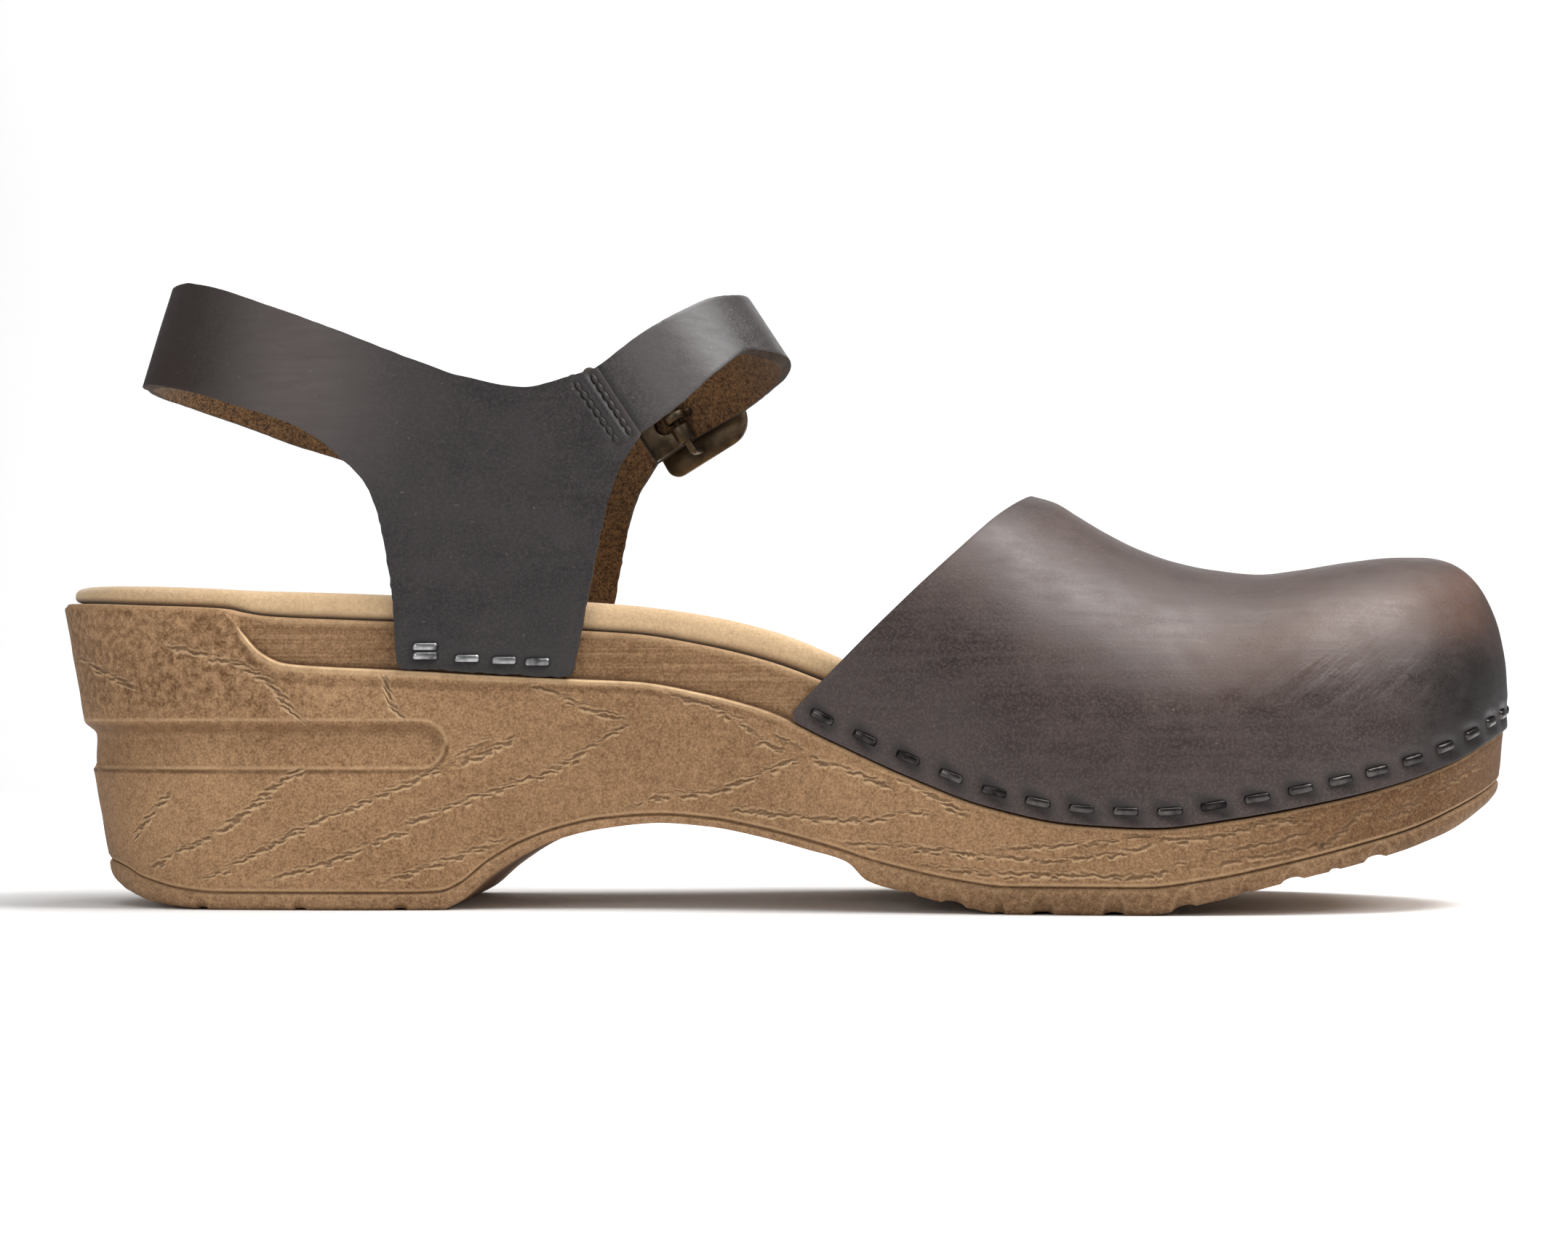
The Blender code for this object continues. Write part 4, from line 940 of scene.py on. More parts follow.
@dataclass(frozen=True)
class ThreadFinish:
    """Waxed thread with a fine twist."""

    name: str
    colour: Colour

    def make(self) -> bpy.types.Material:
        """Builds the material: two tones and bump by the twist's noise.

        Returns:
            The material.
        """
        paint = Paint(self.name)
        twist = paint.noise(2600.0, 2.0, (1.0, 1.0, 2.5))
        return paint.surface(
            Base_Color=paint.mix(twist.span(0.35, 0.65), self.colour, scaled(self.colour, 2.4)),
            Roughness=0.55,
            Normal=paint.bump(twist, 0.5, 0.1),
        )


VAMP_FINISH = LeatherFinish(
    "vamp_leather_dark",
    deep=(0.0235, 0.0160, 0.0150),
    handled=(0.0350, 0.0235, 0.0205),
    burnish_highlight_tone=(0.108, 0.058, 0.040),
    worn=(0.085, 0.040, 0.025),
    dusk=(0.0060, 0.0036, 0.0030),
    roughness=(0.36, 0.56),
    grain=0.34,
    brush=0.58,
    gloss=0.34,
)
QUARTER_FINISH = LeatherFinish(
    "quarter_leather_charcoal",
    deep=(0.0066, 0.0046, 0.0051),
    handled=(0.0160, 0.0120, 0.0124),
    burnish_highlight_tone=(0.0235, 0.0105, 0.0080),
    worn=(0.085, 0.066, 0.062),
    dusk=(0.0070, 0.0045, 0.0038),
    roughness=(0.42, 0.62),
    grain=0.35,
    brush=0.16,
    gloss=0.46,
)
STRAP_FINISH = LeatherFinish(
    "strap_leather_grey",
    deep=(0.0190, 0.0155, 0.0155),
    handled=(0.0280, 0.0230, 0.0225),
    burnish_highlight_tone=(0.0400, 0.0290, 0.0250),
    worn=(0.075, 0.066, 0.064),
    dusk=(0.0080, 0.0060, 0.0055),
    roughness=(0.31, 0.47),
    grain=0.16,
    brush=0.34,
    gloss=0.56,
)
FLESH_FINISH = SuedeFinish(
    "flesh_side_brown", (0.030, 0.0150, 0.0064), (0.205, 0.112, 0.050), contrast=1.35, depth=0.7, sheen=0.1
)
EDGE_FINISH = SuedeFinish(
    "cut_edge_raw", (0.020, 0.0145, 0.0115), (0.095, 0.070, 0.055), contrast=0.9, depth=0.2, sheen=0.0
)
FOOTBED_FINISH = SuedeFinish(
    "footbed_suede_tan", (0.43, 0.285, 0.155), (0.66, 0.475, 0.285), contrast=0.7, depth=0.2, sheen=0.25
)
SOLE_FINISH = MouldedFinish(
    "sole_moulded_tan",
    dark=(0.118, 0.054, 0.019),
    light=(0.474, 0.288, 0.152),
    crack=(0.096, 0.047, 0.020),
    pale=(0.64, 0.44, 0.25),
    stain=(0.078, 0.033, 0.010),
)
TREAD_FINISH = MouldedFinish(
    "tread_moulded_tan",
    dark=(0.125, 0.062, 0.025),
    light=(0.478, 0.296, 0.162),
    crack=(0.085, 0.046, 0.025),
    pale=(0.56, 0.38, 0.22),
    stain=(0.084, 0.041, 0.016),
)
BRASS_FINISH = MetalFinish(
    "antique_brass_dark", (0.125, 0.092, 0.058), (0.032, 0.024, 0.018), roughness=(0.34, 0.54), patch=0.85
)
STEEL_FINISH = MetalFinish(
    "staple_steel_bare", (0.42, 0.42, 0.43), (0.055, 0.053, 0.055), roughness=(0.22, 0.42), patch=1.0
)
DARK_STEEL_FINISH = MetalFinish(
    "staple_steel_dark", (0.085, 0.077, 0.074), (0.014, 0.012, 0.012), roughness=(0.18, 0.36), patch=1.0
)
THREAD_FINISH = ThreadFinish("waxed_thread_dark", (0.010, 0.0075, 0.0065))


@dataclass
class Last:
    """Plan, side curves and stations that every piece shares."""

    heel_back: float = 1.2
    toe_tip: float = 255.4
    heel_round: float = 32.0
    toe_round: float = 38.0
    leather: float = 2.0
    gap: float = 0.3
    band_depth: float = 1.6

    def __post_init__(self) -> None:
        """Makes the curves from the tables."""
        x, medial, lateral = zip(*PLAN)
        turns = self.turn(np.array(x))
        self.half = {Side.MEDIAL: SmoothCurve(turns, medial), Side.LATERAL: SmoothCurve(turns, lateral)}
        self.under, self.over, self.ridge = curves(BOTTOM), curves(TOP), curves(RIDGE)

    def turn(self, x: Array) -> Array:
        """Half turn from heel to toe whose cosine gives x, so that widths come out round at both ends."""
        share = (np.asarray(x, float) - self.heel_back) / (self.toe_tip - self.heel_back)
        return np.arccos(np.clip(1 - 2 * share, -1.0, 1.0))

    def width(self, x: Array, side: Side) -> Array:
        """Half width at x on one side."""
        return self.half[side](self.turn(x))

    def stations(self, step: float, ends: int, extra: Array = np.zeros(0)) -> Array:
        """Station x values: cosine spacing round heel and toe, even between, with extra ones added.

        Args:
            step: Spacing between the ends.
            ends: Stations in each rounded end.
            extra: More station values.

        Returns:
            Rising x values.
        """
        bow = 1 - np.cos(np.linspace(0.0, QUARTER_TURN, ends))
        heel = self.heel_back + self.heel_round * bow
        toe = self.toe_tip - self.toe_round * bow
        run = np.arange(heel[-1] + step, toe[-1] - step / 2, step)
        if len(extra):
            run = run[np.abs(run[:, None] - extra).min(axis=1) > step * 0.4]
        return np.unique(np.concatenate([heel, run, extra, toe]))

    def ring(self, xs: Array, inset: Array) -> Array:
        """Closed outline: heel, medial side, toe, lateral side, moved inward along its normal.

        Args:
            xs: Stations.
            inset: Inset of each outline point, in the last axis.

        Returns:
            Array [..., point, 2].
        """
        medial = np.stack([xs, -self.width(xs, Side.MEDIAL)], 1)
        lateral = np.stack([xs, self.width(xs, Side.LATERAL)], 1)[-2:0:-1]
        line = np.concatenate([medial, lateral])
        along = unit(np.roll(line, -1, 0) - np.roll(line, 1, 0))
        outward = np.stack([along[:, 1], -along[:, 0]], 1)
        return line - outward * np.asarray(inset)[..., None]

    def round_trip(self, xs: Array) -> Array:
        """Station x of each outline point."""
        return np.concatenate([xs, xs[-2:0:-1]])

    def solid(
        self,
        xs: Array,
        inset: Array,
        height: Array,
        across: tuple[int, int],
        dishes: tuple[Array, Array],
        **marks: Array,
    ) -> Draft:
        """Closed solid: levels round the outline, joined by quads, with a dished cap below and above.

        Args:
            xs: Stations.
            inset: Array [level, point].
            height: Array [level, point].
            across: Cells across the lower and the upper cap.
            dishes: Depth of each cap at each station; it falls off as 1 - v2 across.
            marks: Values [level, point] for each attribute.

        Returns:
            Draft of the solid.
        """
        draft = Draft()
        flat = self.ring(xs, inset)
        index = draft.add(np.concatenate([flat, height[..., None]], -1), **marks)
        draft.quads(index, wrap=True)
        count = len(xs)
        for level, cells, dish in ((0, across[0], dishes[0]), (-1, across[1], dishes[1])):
            edge = np.concatenate([flat[level], height[level][:, None]], 1)
            left = edge[1 : count - 1]
            right = edge[: count - 1 : -1]
            share = np.linspace(0.0, 1.0, cells + 1)[1:-1]
            inner = left[:, None] + (right - left)[:, None] * share[:, None]
            inner[..., 2] -= dish[1:-1, None] * (1 - (2 * share - 1) ** 2)
            ids = draft.add(inner)
            rim = index[level]
            rows = np.concatenate([rim[1 : count - 1, None], ids, rim[: count - 1 : -1, None]], 1)
            ends = np.broadcast_to(rim[[0, count - 1], None], (2, cells + 1))
            draft.quads(np.concatenate([ends[:1], rows, ends[1:]]), flip=level == -1)
        return draft


@dataclass
class WoodGrain:
    """Imprinted wood grain: place beside the nearest grain line, where the finish draws cracks."""

    shift: float = 0.0
    reach: float = 2.4
    steepest: float = 0.8
    apart: float = 7.3

    def fields(self, x: Array, z: Array) -> dict[str, Array]:
        """Place beside the nearest line: the least distance to its straight stretches.

        Args:
            x: Station of each column.
            z: Heights [row, column].

        Returns:
            Arrays [row, column] by attribute: run along the line, distance across it and the line's slope, in
            millimetres, and nearness, 1 on the line and 0 beyond its reach.
        """
        x, z = np.broadcast_arrays(x - self.shift, z)
        best = second = np.full(z.shape, np.inf)
        found = [np.zeros(z.shape) for _ in range(3)]
        start = 0.0
        for chain in GRAIN_CHAINS:
            reached = np.full(z.shape, np.inf)
            kept = found
            for (x0, z0), (x1, z1) in zip(chain[:-1], chain[1:]):
                along, over, length = beside_line(x, z, (x0, z0, x1, z1))
                distance = np.hypot(along - np.clip(along, 0.0, length), over)
                closer = distance < reached
                reached = np.where(closer, distance, reached)
                slope = np.clip((z1 - z0) / (x1 - x0), -self.steepest, self.steepest)
                kept = [np.where(closer, new, old) for new, old in zip((start + along, over, slope), kept)]
                start += length
            start += self.apart
            nearer = reached < best
            second = np.where(nearer, best, np.minimum(second, reached))
            best = np.minimum(best, reached)
            found = [np.where(nearer, new, old) for new, old in zip(kept, found)]
        near = (1 - ease(0.4 * self.reach, self.reach, best)) * ease(0.3, 1.3, second - best)
        return dict(zip(("grain_run", "grain_off", "grain_lean", "grain_near"), (*found, near)))


@dataclass
class Sole:
    """Moulded sole body with its cove, recessed band, ledge and imprinted wood grain."""

    last: Last
    foot: tuple[tuple[float, float], ...] = ((0.5, 0.0), (0.2, 0.15), (0.05, 0.42))
    side_rows: int = 76
    arc_rows: int = 4
    wall_rows: int = 10
    lip: float = 0.7
    ledge_round: float = 0.5
    rim_round: float = 0.6
    cove_mid: float = 28.0
    cove_half: float = 4.1
    cove_end: float = 72.0
    cove_depth: tuple[float, float] = (1.7, 1.2)
    mould_x: float = 240.2
    far_shift: float = -4.0
    # Darkening along x: stain, and painted shade where heel and toe turn away
    stain_and_shade_x: tuple[float, ...] = (0.0, 28.0, 55.0, 90.0, 150.0, 190.0, 236.0, 256.0)
    stain_and_shade_levels: tuple[float, ...] = (0.28, 0.05, 0.00, 0.26, 0.11, 0.34, 0.86, 0.92)

    def cove(self, x: Array, z: Array) -> tuple[Array, Array]:
        """Depth of the heel's cove, and the distance from its edge.

        Going down across the cove, the side dips in quickly, comes back slowly and ends in a fine step. The
        cove closes in a half circle at its front end.

        Args:
            x: Station of each column.
            z: Heights [row, column].

        Returns:
            Depth and distance, outward from the edge, both [row, column].
        """
        start = self.cove_end - self.cove_half
        end = np.sqrt(np.clip(1 - ((x - start) / self.cove_half) ** 2, 0.0, 1.0))
        half = np.where(x < start, self.cove_half, self.cove_half * end)
        t = (self.cove_mid + half - z) / np.maximum(2 * half, 1e-3)
        back, front = self.cove_depth
        deep = (back + (front - back) * ease(0.0, 66.0, x)) * np.clip(half / self.cove_half, 0, 1) ** 0.6
        shape = ease(0.0, 0.26, t) * (1 - 0.6 * ease(0.24, 0.98, t)) * (1 - ease(0.93, 1.0, t))
        return deep * shape, np.hypot(np.maximum(x - start, 0.0), z - self.cove_mid) - self.cove_half

    def mould_line(self, x: Array, z: Array) -> Array:
        """Height of the fine upright mould line near the toe: a narrow bell along x."""
        return 0.13 * bell(x - self.mould_x, 0.4) * (1 - ease(20.0, 22.0, z))

    def build(self) -> Piece:
        """Rows round the outline from the parting line up to the rim, then the caps.

        The side leans in by the taper's share of the height left above. The cove, a soft trough along each
        grain line and a slight unevenness are added to its inset. Ledge and rim are quarter rounds.

        Returns:
            The piece.
        """
        last = self.last
        xs = last.stations(0.62, 62)
        x = last.round_trip(xs)
        low = last.under["parting"](x) + last.gap / 2
        taper = last.under["taper"](x)
        ledge, rim = last.over["ledge"](x), last.over["rim"](x)
        band = last.band_depth * ease(34.0, 40.0, x)
        room = ledge - low
        share = np.linspace(0.0, 1.0, self.side_rows)[:, None]
        z = low + self.lip + (room - self.lip - self.ledge_round) * share
        dent, cove_off = self.cove(x, z)
        cove_lip = bell(cove_off, 0.45) * (x < self.cove_end + 1.5)
        count = len(xs)
        near = WoodGrain().fields(x[:count], z[:, :count])
        far = WoodGrain(self.far_shift).fields(x[count:], z[:, count:])
        grain = {name: np.concatenate([near[name], far[name]], 1) for name in near}
        fade = ease(0.0, 0.06, share) * (1 - ease(0.95, 1.0, share))
        grain["grain_near"] = grain["grain_near"] * (1 - np.clip(dent / 0.4, 0.0, 1.0)) * fade
        wave = 0.10 * ripple(3.1, 5, x * 0.35, z)
        trough = 0.12 * grain["grain_near"] * bell(grain["grain_off"], 0.7)
        inset = taper * np.clip(1 - (z - low) / room, 0.0, 1.0)
        inset = inset + dent + trough + fade * (wave - 0.05 * cove_lip) - self.mould_line(x, z)
        arc = np.linspace(0.0, QUARTER_TURN, self.arc_rows + 1)[1:, None]
        turn_in, turn_up = 1 - np.cos(arc), np.sin(arc)
        sink = np.minimum(self.ledge_round, 0.2 + band)
        climb = np.linspace(0.0, 1.0, self.wall_rows)[:, None]
        wall_low, wall_high = ledge + 0.1, np.maximum(rim - self.rim_round, ledge + 0.25)
        wall_foot, wall_head = np.maximum(band, 0.35), np.maximum(band + 0.1, 0.5)
        wall_inset = wall_foot + (wall_head - wall_foot) * climb
        wall_z = wall_low + (wall_high - wall_low) * climb
        foot_in, foot_up = np.array(self.foot).T[..., None]
        ledge_inset = inset[-1] + (sink - inset[-1]) * turn_in
        top_inset = wall_inset[-1] + (band + 0.2 + self.rim_round - wall_inset[-1]) * turn_in
        insets = np.concatenate([taper + foot_in, inset, ledge_inset, wall_inset, top_inset])
        ledge_z = z[-1] + self.ledge_round * turn_up
        top_z = wall_z[-1] + (rim - wall_z[-1]) * turn_up
        heights = np.concatenate([low + foot_up, z, ledge_z, wall_z, top_z])
        dish = last.over["dish"](xs)
        marks = self.marks(x, z, grain, cove_off, band)
        draft = last.solid(xs, insets, heights, (2, 6), (0 * dish, dish), **marks)
        piece = draft.build("sole_moulded", [SOLE_FINISH.make()])
        return seat(bake(piece, 50.0), "sole_tan", "sole_body")

    def marks(
        self, x: Array, z: Array, grain: dict[str, Array], cove_off: Array, band: Array
    ) -> dict[str, Array]:
        """Attributes of every row: grain lines, painted highlight on edges, stain and painted shade, mottled
        upper heel and brushed band.

        Args:
            x: Station of each column.
            z: Heights of the side's rows.
            grain: Fields of the grain lines on the side's rows.
            cove_off: Distance from the cove's edge on the side's rows.
            band: Depth of the recessed band at each column.

        Returns:
            Array [row, column] for each attribute.
        """
        foot = len(self.foot)
        ledge = foot + self.side_rows
        wall = ledge + self.arc_rows
        top = wall + self.wall_rows
        upper = ease(-0.6, 0.6, z - self.cove_mid)
        mottle = ease(30.0, 38.0, z) * (1 - ease(30.0, 70.0, x))
        side = {**grain, "mottle": mottle, "cove_off": cove_off, "cove_upper": upper, "cove_lower": 1 - upper}
        names = ("pale", "band", "soil", "stain", *side)
        made = {name: np.zeros((top + self.arc_rows, len(x))) for name in names}
        for name, rows in side.items():
            made[name][foot:ledge] = rows
        recessed = (band > 0.8).astype(float)
        shown = recessed * (1 - 0.75 * ease(112.0, 136.0, x))
        stain = made["stain"]
        stain[:] = SmoothCurve(self.stain_and_shade_x, self.stain_and_shade_levels)(x)
        # Painted shade on the upper heel, under the ledge's edge and in the recessed band
        stain[foot:ledge] += 0.22 * ease(31.0, 37.0, z) * (1 - ease(20.0, 62.0, x))
        stain[ledge - 6 : ledge - 3] += 0.30 * shown
        stain[wall:top] += (0.34 - 0.18 * ease(62.0, 82.0, x)) * recessed
        # Paler foot rows; painted highlight on the ledge's round and the rim
        pale = made["pale"]
        pale[1:foot] = 0.36
        pale[ledge - 2 : ledge] = 0.45 * shown
        pale[ledge : wall - 1] = shown
        pale[top - 1 : -1] = 0.30
        made["band"][wall:top] = recessed
        # Painted shade at the foot of the band's wall
        made["soil"][wall] = 0.5 * recessed
        return made


@dataclass
class Tread:
    """Outsole below the parting groove, with transverse grooves whose ends show as notches."""

    last: Last
    edge_round: float = 1.8
    sets: tuple[GrooveSet, ...] = (
        GrooveSet((156.6, 171.6, 183.4, 195.2, 213.5, 228.6), radius=1.9, reach=2.1, stations=17),
        GrooveSet((149.4, 164.4, 205.4, 221.2), radius=0.95, reach=1.1, stations=11),
        GrooveSet((29.4, 46.9, 64.4), radius=1.2, reach=2.1, stations=17),
    )
    through: float = 0.3
    notch_depth: float = 0.7

    def grooves(self, x: Array) -> Array:
        """Height of the grooves' roofs above the tread: circles about points just under its face."""
        near = [kind.radius**2 - (x - place) ** 2 for kind in self.sets for place in kind.places]
        return np.maximum(np.sqrt(np.clip(np.max(near, axis=0), 0, None)) - 0.1, 0.0)

    def notches(self, x: Array, rise: Array, tall: Array) -> Array:
        """Half-oval notches at the grooves' ends: the least x2 / r2 + rise2 / tall2, 1 on a notch's edge."""
        near = [((x - place) / kind.radius) ** 2 for kind in self.sets for place in kind.places]
        return np.min(near, axis=0) + (rise / tall) ** 2

    def build(self) -> Piece:
        """Rows from the tread's edge up to the parting line; the lower edge is rounded as (1 - v) cubed.

        Returns:
            The piece.
        """
        last = self.last
        drawn = [
            np.add.outer(kind.places, np.linspace(-kind.reach, kind.reach, kind.stations)).ravel()
            for kind in self.sets
        ]
        xs = last.stations(0.8, 50, np.concatenate(drawn))
        x = last.round_trip(xs)
        top = last.under["parting"](x) - last.gap / 2
        taper = last.under["taper"](x)
        roof = self.through * np.minimum(self.grooves(x), 0.72 * (top - last.under["tread"](x)))
        low = last.under["tread"](x) + roof
        v = np.linspace(0.0, 1.0, 16)[:, None] ** 1.3
        edge = self.edge_round * np.minimum((top - low + roof) / 3.0, 1.0)
        inset = taper + 0.1 + (edge - 0.1) * (1 - v) ** 3 + 0.45 * ease(0.86, 1.0, v)
        height = low + (top - low) * v
        inset = inset + 0.10 * ripple(1.7, 9, x, height) * (1 - v)
        ring = self.notches(x, height - low, 0.8 * (top - low))
        inset = inset + self.notch_depth * np.sqrt(np.clip(1 - ring, 0.0, 1.0))
        inset = np.concatenate([inset, [inset[-1] + 0.5, inset[-1] + 0.55]])
        height = np.concatenate([height, [top, top + last.gap]])
        # Painted highlight on the tread's upper edge and the notches' rims
        pale = np.clip(0.16 * ease(0.80, 0.9, v) + 0.22 * bell(ring - 1.05, 0.3), 0, 1)
        pale = np.concatenate([pale, pale[-1:], pale[-1:]])
        # Darker towards the forefoot and the toe
        stain = 0.06 + 0.50 * ease(140.0, 175.0, x) + 0.2 * ease(215.0, 235.0, x)
        flat = np.zeros(len(xs))
        draft = last.solid(xs, inset, height, (24, 2), (flat, flat), pale=pale, stain=stain, mottle=0.3)
        piece = draft.build("tread_moulded", [TREAD_FINISH.make()])
        return seat(bake(piece, 35.0), "tread_brown", "outsole")


@dataclass
class Footbed:
    """Suede footbed: a dished sheet with a full, rounded edge."""

    last: Last
    edge_rise: tuple[float, ...] = (0.0, 0.08, 0.35, 0.6, 0.8, 0.93, 1.0)
    edge_inset: tuple[float, ...] = (0.9, 0.35, 0.0, 0.06, 0.36, 0.85, 1.6)
    dish_end: float = 20.0

    def build(self) -> Piece:
        """Edge rows follow half an oval from the lower to the upper face; both faces are dished as 1 - v2.

        Returns:
            The piece.
        """
        last = self.last
        xs = last.stations(1.0, 44)
        x = last.round_trip(xs)
        low = last.over["rim"](x) + last.gap
        top = last.over["insole"](x)
        v = np.linspace(0.0, 1.0, 14)[:, None]
        inset = last.over["inset"](x) + SmoothCurve(self.edge_rise, self.edge_inset)(v)
        rise = low + (top - low) * v
        wobble = 0.12 * ripple(4.0, 3, x, rise)
        from_end = np.minimum(xs - last.heel_back, last.toe_tip - xs)
        dish = last.over["dish"](xs) * ease(0.0, self.dish_end, from_end)
        # Painted shade along the footbed's lower edge, in the gap over the rim
        soil = 0.75 * (1 - ease(0.0, 0.28, v))
        draft = last.solid(xs, inset + wobble, rise, (8, 30), (dish, dish), soil=soil)
        piece = draft.build("footbed_suede_piece", [FOOTBED_FINISH.make()])
        return seat(bake(piece, 60.0), "footbed_suede", "insole")


def joined(sets: Sequence[Frames]) -> Frames:
    """One set of staple frames from several."""
    return tuple(np.concatenate(parts) for parts in zip(*sets))


def staple_dents(points: Array, frames: Frames, half_length: float, half_height: float, deep: float) -> Array:
    """Depth pressed in round each staple: a flat-topped bell, by the power 4 along it and 3 across it.

    Args:
        points: Array [..., 3].
        frames: Middle, run and upward direction of each staple.
        half_length: Half width of the bell along a staple.
        half_height: Half width across it.
        deep: Depth in the middle.

    Returns:
        Array [...].
    """
    depth = np.zeros(points.shape[:-1])
    for middle, run, up in zip(*frames):
        off = points - middle
        near = np.exp(-((off @ run / half_length) ** 4) - np.abs(off @ up / half_height) ** 3)
        depth = np.maximum(depth, deep * near * (np.abs(off).sum(-1) < 12))
    return depth


def leather_piece(name: str, draft: Draft, finish: LeatherFinish, thick_mm: float, round_mm: float) -> Piece:
    """Makes a leather face and walls it inward, with a flesh side, cut edges and rounded arrises.

    Points that no face uses are dropped first.

    Args:
        name: Name of the piece.
        draft: Its outer face.
        finish: The grain side.
        thick_mm: Leather thickness.
        round_mm: Rounding of the cut edges.

    Returns:
        The piece, as a plain mesh.
    """
    obj = draft.build(name, [finish.make(), FLESH_FINISH.make(), EDGE_FINISH.make()])
    face = bmesh.new()
    face.from_mesh(obj.data)
    bmesh.ops.delete(face, geom=[v for v in face.verts if not v.link_faces], context="VERTS")
    face.to_mesh(obj.data)
    face.free()
    wall = obj.modifiers.new("wall", "SOLIDIFY")
    wall.thickness = thick_mm * MM
    wall.offset = -1.0
    wall.use_even_offset = True
    wall.material_offset = 1
    wall.material_offset_rim = 2
    round_edges(obj, round_mm, 55.0)
    return bake(obj, 42.0)


@dataclass
class Vamp:
    """Closed toe leather: columns from the stapled edge up to the ridge, open at the throat."""

    last: Last
    corner: float = 129.7
    peak: float = 173.0
    toe_top: float = 241.0
    throat_round: float = 0.85
    bulge: float = 1.4
    spine_power: float = 1.8
    columns: int = 190
    rows: int = 84
    staples: int = 20
    staple_rise: float = 2.3
    throat_lift: float = 0.4
    trim: tuple[float, float] = (0.012, 0.016)

    def run(self) -> tuple[Array, Array]:
        """Measures the medial outline from the corner to the toe tip.

        Returns:
            Shares of its length, and the x at each.
        """
        turn = np.linspace(float(self.last.turn(self.corner)), math.pi, 400)
        x = self.last.heel_back + (self.last.toe_tip - self.last.heel_back) * (1 - np.cos(turn)) / 2
        width = self.last.width(x, Side.MEDIAL)
        length = np.concatenate([[0.0], np.cumsum(np.hypot(np.diff(x), np.diff(width)))])
        return length / length[-1], x

    def base(self, share: Array, side: Side) -> Array:
        """Points of the outer lower edge.

        Args:
            share: Places along it, from the corner (0) to the toe tip (1).
            side: Medial or lateral.

        Returns:
            Array [place, 3].
        """
        last = self.last
        x = np.interp(share, *self.run())
        xs = last.stations(1.5, 60)
        count = len(xs)
        ring = last.ring(xs, np.full(2 * count - 2, last.band_depth - last.gap - last.leather))
        line = ring[:count] if side is Side.MEDIAL else np.concatenate([ring[:1], ring[: count - 2 : -1]])
        at, turn = last.turn(xs), last.turn(x)
        height = last.over["ledge"](x) + last.gap
        return np.stack([np.interp(turn, at, line[:, 0]), np.interp(turn, at, line[:, 1]), height], -1)

    def points(self, share: Array, side: Side, rows: Array) -> Array:
        """Outer face: each column is a superellipse quarter from the edge up to the ridge.

        With a from 0 to a quarter turn, out is cos(a)^(2/p) and rise sin(a)^(2/p); a bulge 4r(1-r) is added
        to out, and near the throat the column leans back by (1-rise)^0.85.

        Args:
            share: Places along the edge.
            side: Medial or lateral.
            rows: Shares of the quarter turn, [row, column] or [row, 1].

        Returns:
            Array [row, column, 3].
        """
        last = self.last
        base = self.base(share, side)
        spine_x = self.peak + (self.toe_top - self.peak) * (1 - (1 - share) ** self.spine_power)
        spine_y, spine_z = last.ridge["y"](spine_x), last.ridge["z"](spine_x)
        power = 2.2 + 0.3 * ease(0.1, 0.8, share)
        bulge = self.bulge * (1 - 0.65 * ease(0.5, 1.0, share))
        angle = rows * math.pi / 2
        out = np.clip(np.cos(angle), 0, 1) ** (2 / power)
        rise = np.clip(np.sin(angle), 0, 1) ** (2 / power)
        swell = 4 * rise * (1 - rise) * (1 - ease(0.85, 1.0, share))
        out = out + bulge / np.abs(base[:, 1] - spine_y + 0.01) * swell
        toe = ease(0.15, 1.0, share)
        back = (1 - toe) * (1 - rise) ** self.throat_round + toe * out
        x = spine_x + (base[:, 0] - spine_x) * back
        grown = last.width(x, side) - last.width(base[:, 0], side)
        y = spine_y + (base[:, 1] + (1 - toe) * side.value * grown - spine_y) * out
        z = base[:, 2] + (spine_z - base[:, 2]) * rise
        return np.stack([x, y, z], -1)

    def staple_frames(self) -> Frames:
        """Places the staples evenly along both edges, medial side first, corner to toe.

        Returns:
            Middle, run and upward direction of each staple.
        """
        sets = []
        share = (np.arange(self.staples) + 0.55) / self.staples
        share = share - 0.008 * ease(0.58, 0.72, share)
        for side in Side:
            height = self.points(share, side, np.ones((1, 1)))[0, :, 2] - self.base(share, side)[:, 2]
            angle = np.arcsin((self.staple_rise / height) ** 1.12) / QUARTER_TURN
            low, here, high = self.points(share, side, np.stack([angle - 0.02, angle, angle + 0.02]))
            before = self.points(share - 0.01, side, angle[None])[0]
            after = self.points(np.minimum(share + 0.01, 1.0), side, angle[None])[0]
            sets.append((here, unit((after - before) * -side.value), unit(high - low)))
        return joined(sets)

    def press(self, points: Array) -> Array:
        """Depth pressed in round the staples."""
        return staple_dents(points, self.staple_frames(), 2.9, 1.5, 0.42)

    def creases(self, points: Array) -> Array:
        """Depth of the soft creases, by their side view: bells across each line, fading as 1 - t2 along it.

        Args:
            points: Array [..., 3] of the outer face.

        Returns:
            Array [...].
        """
        x = points[..., 0] + 0.5 * value_noise(points, 6.0, 21)
        z = points[..., 2] + 0.5 * value_noise(points, 5.0, 22)
        depth = np.zeros(x.shape)
        for *ends, deep, wide in CREASES:
            along, off, length = beside_line(x, z, ends)
            fade = np.clip(1 - (along / length * 2 - 1) ** 2, 0.0, 1.0)
            depth += deep * fade * (bell(off, wide) - 0.5 * bell(off - 2.0 * wide, wide))
        return depth

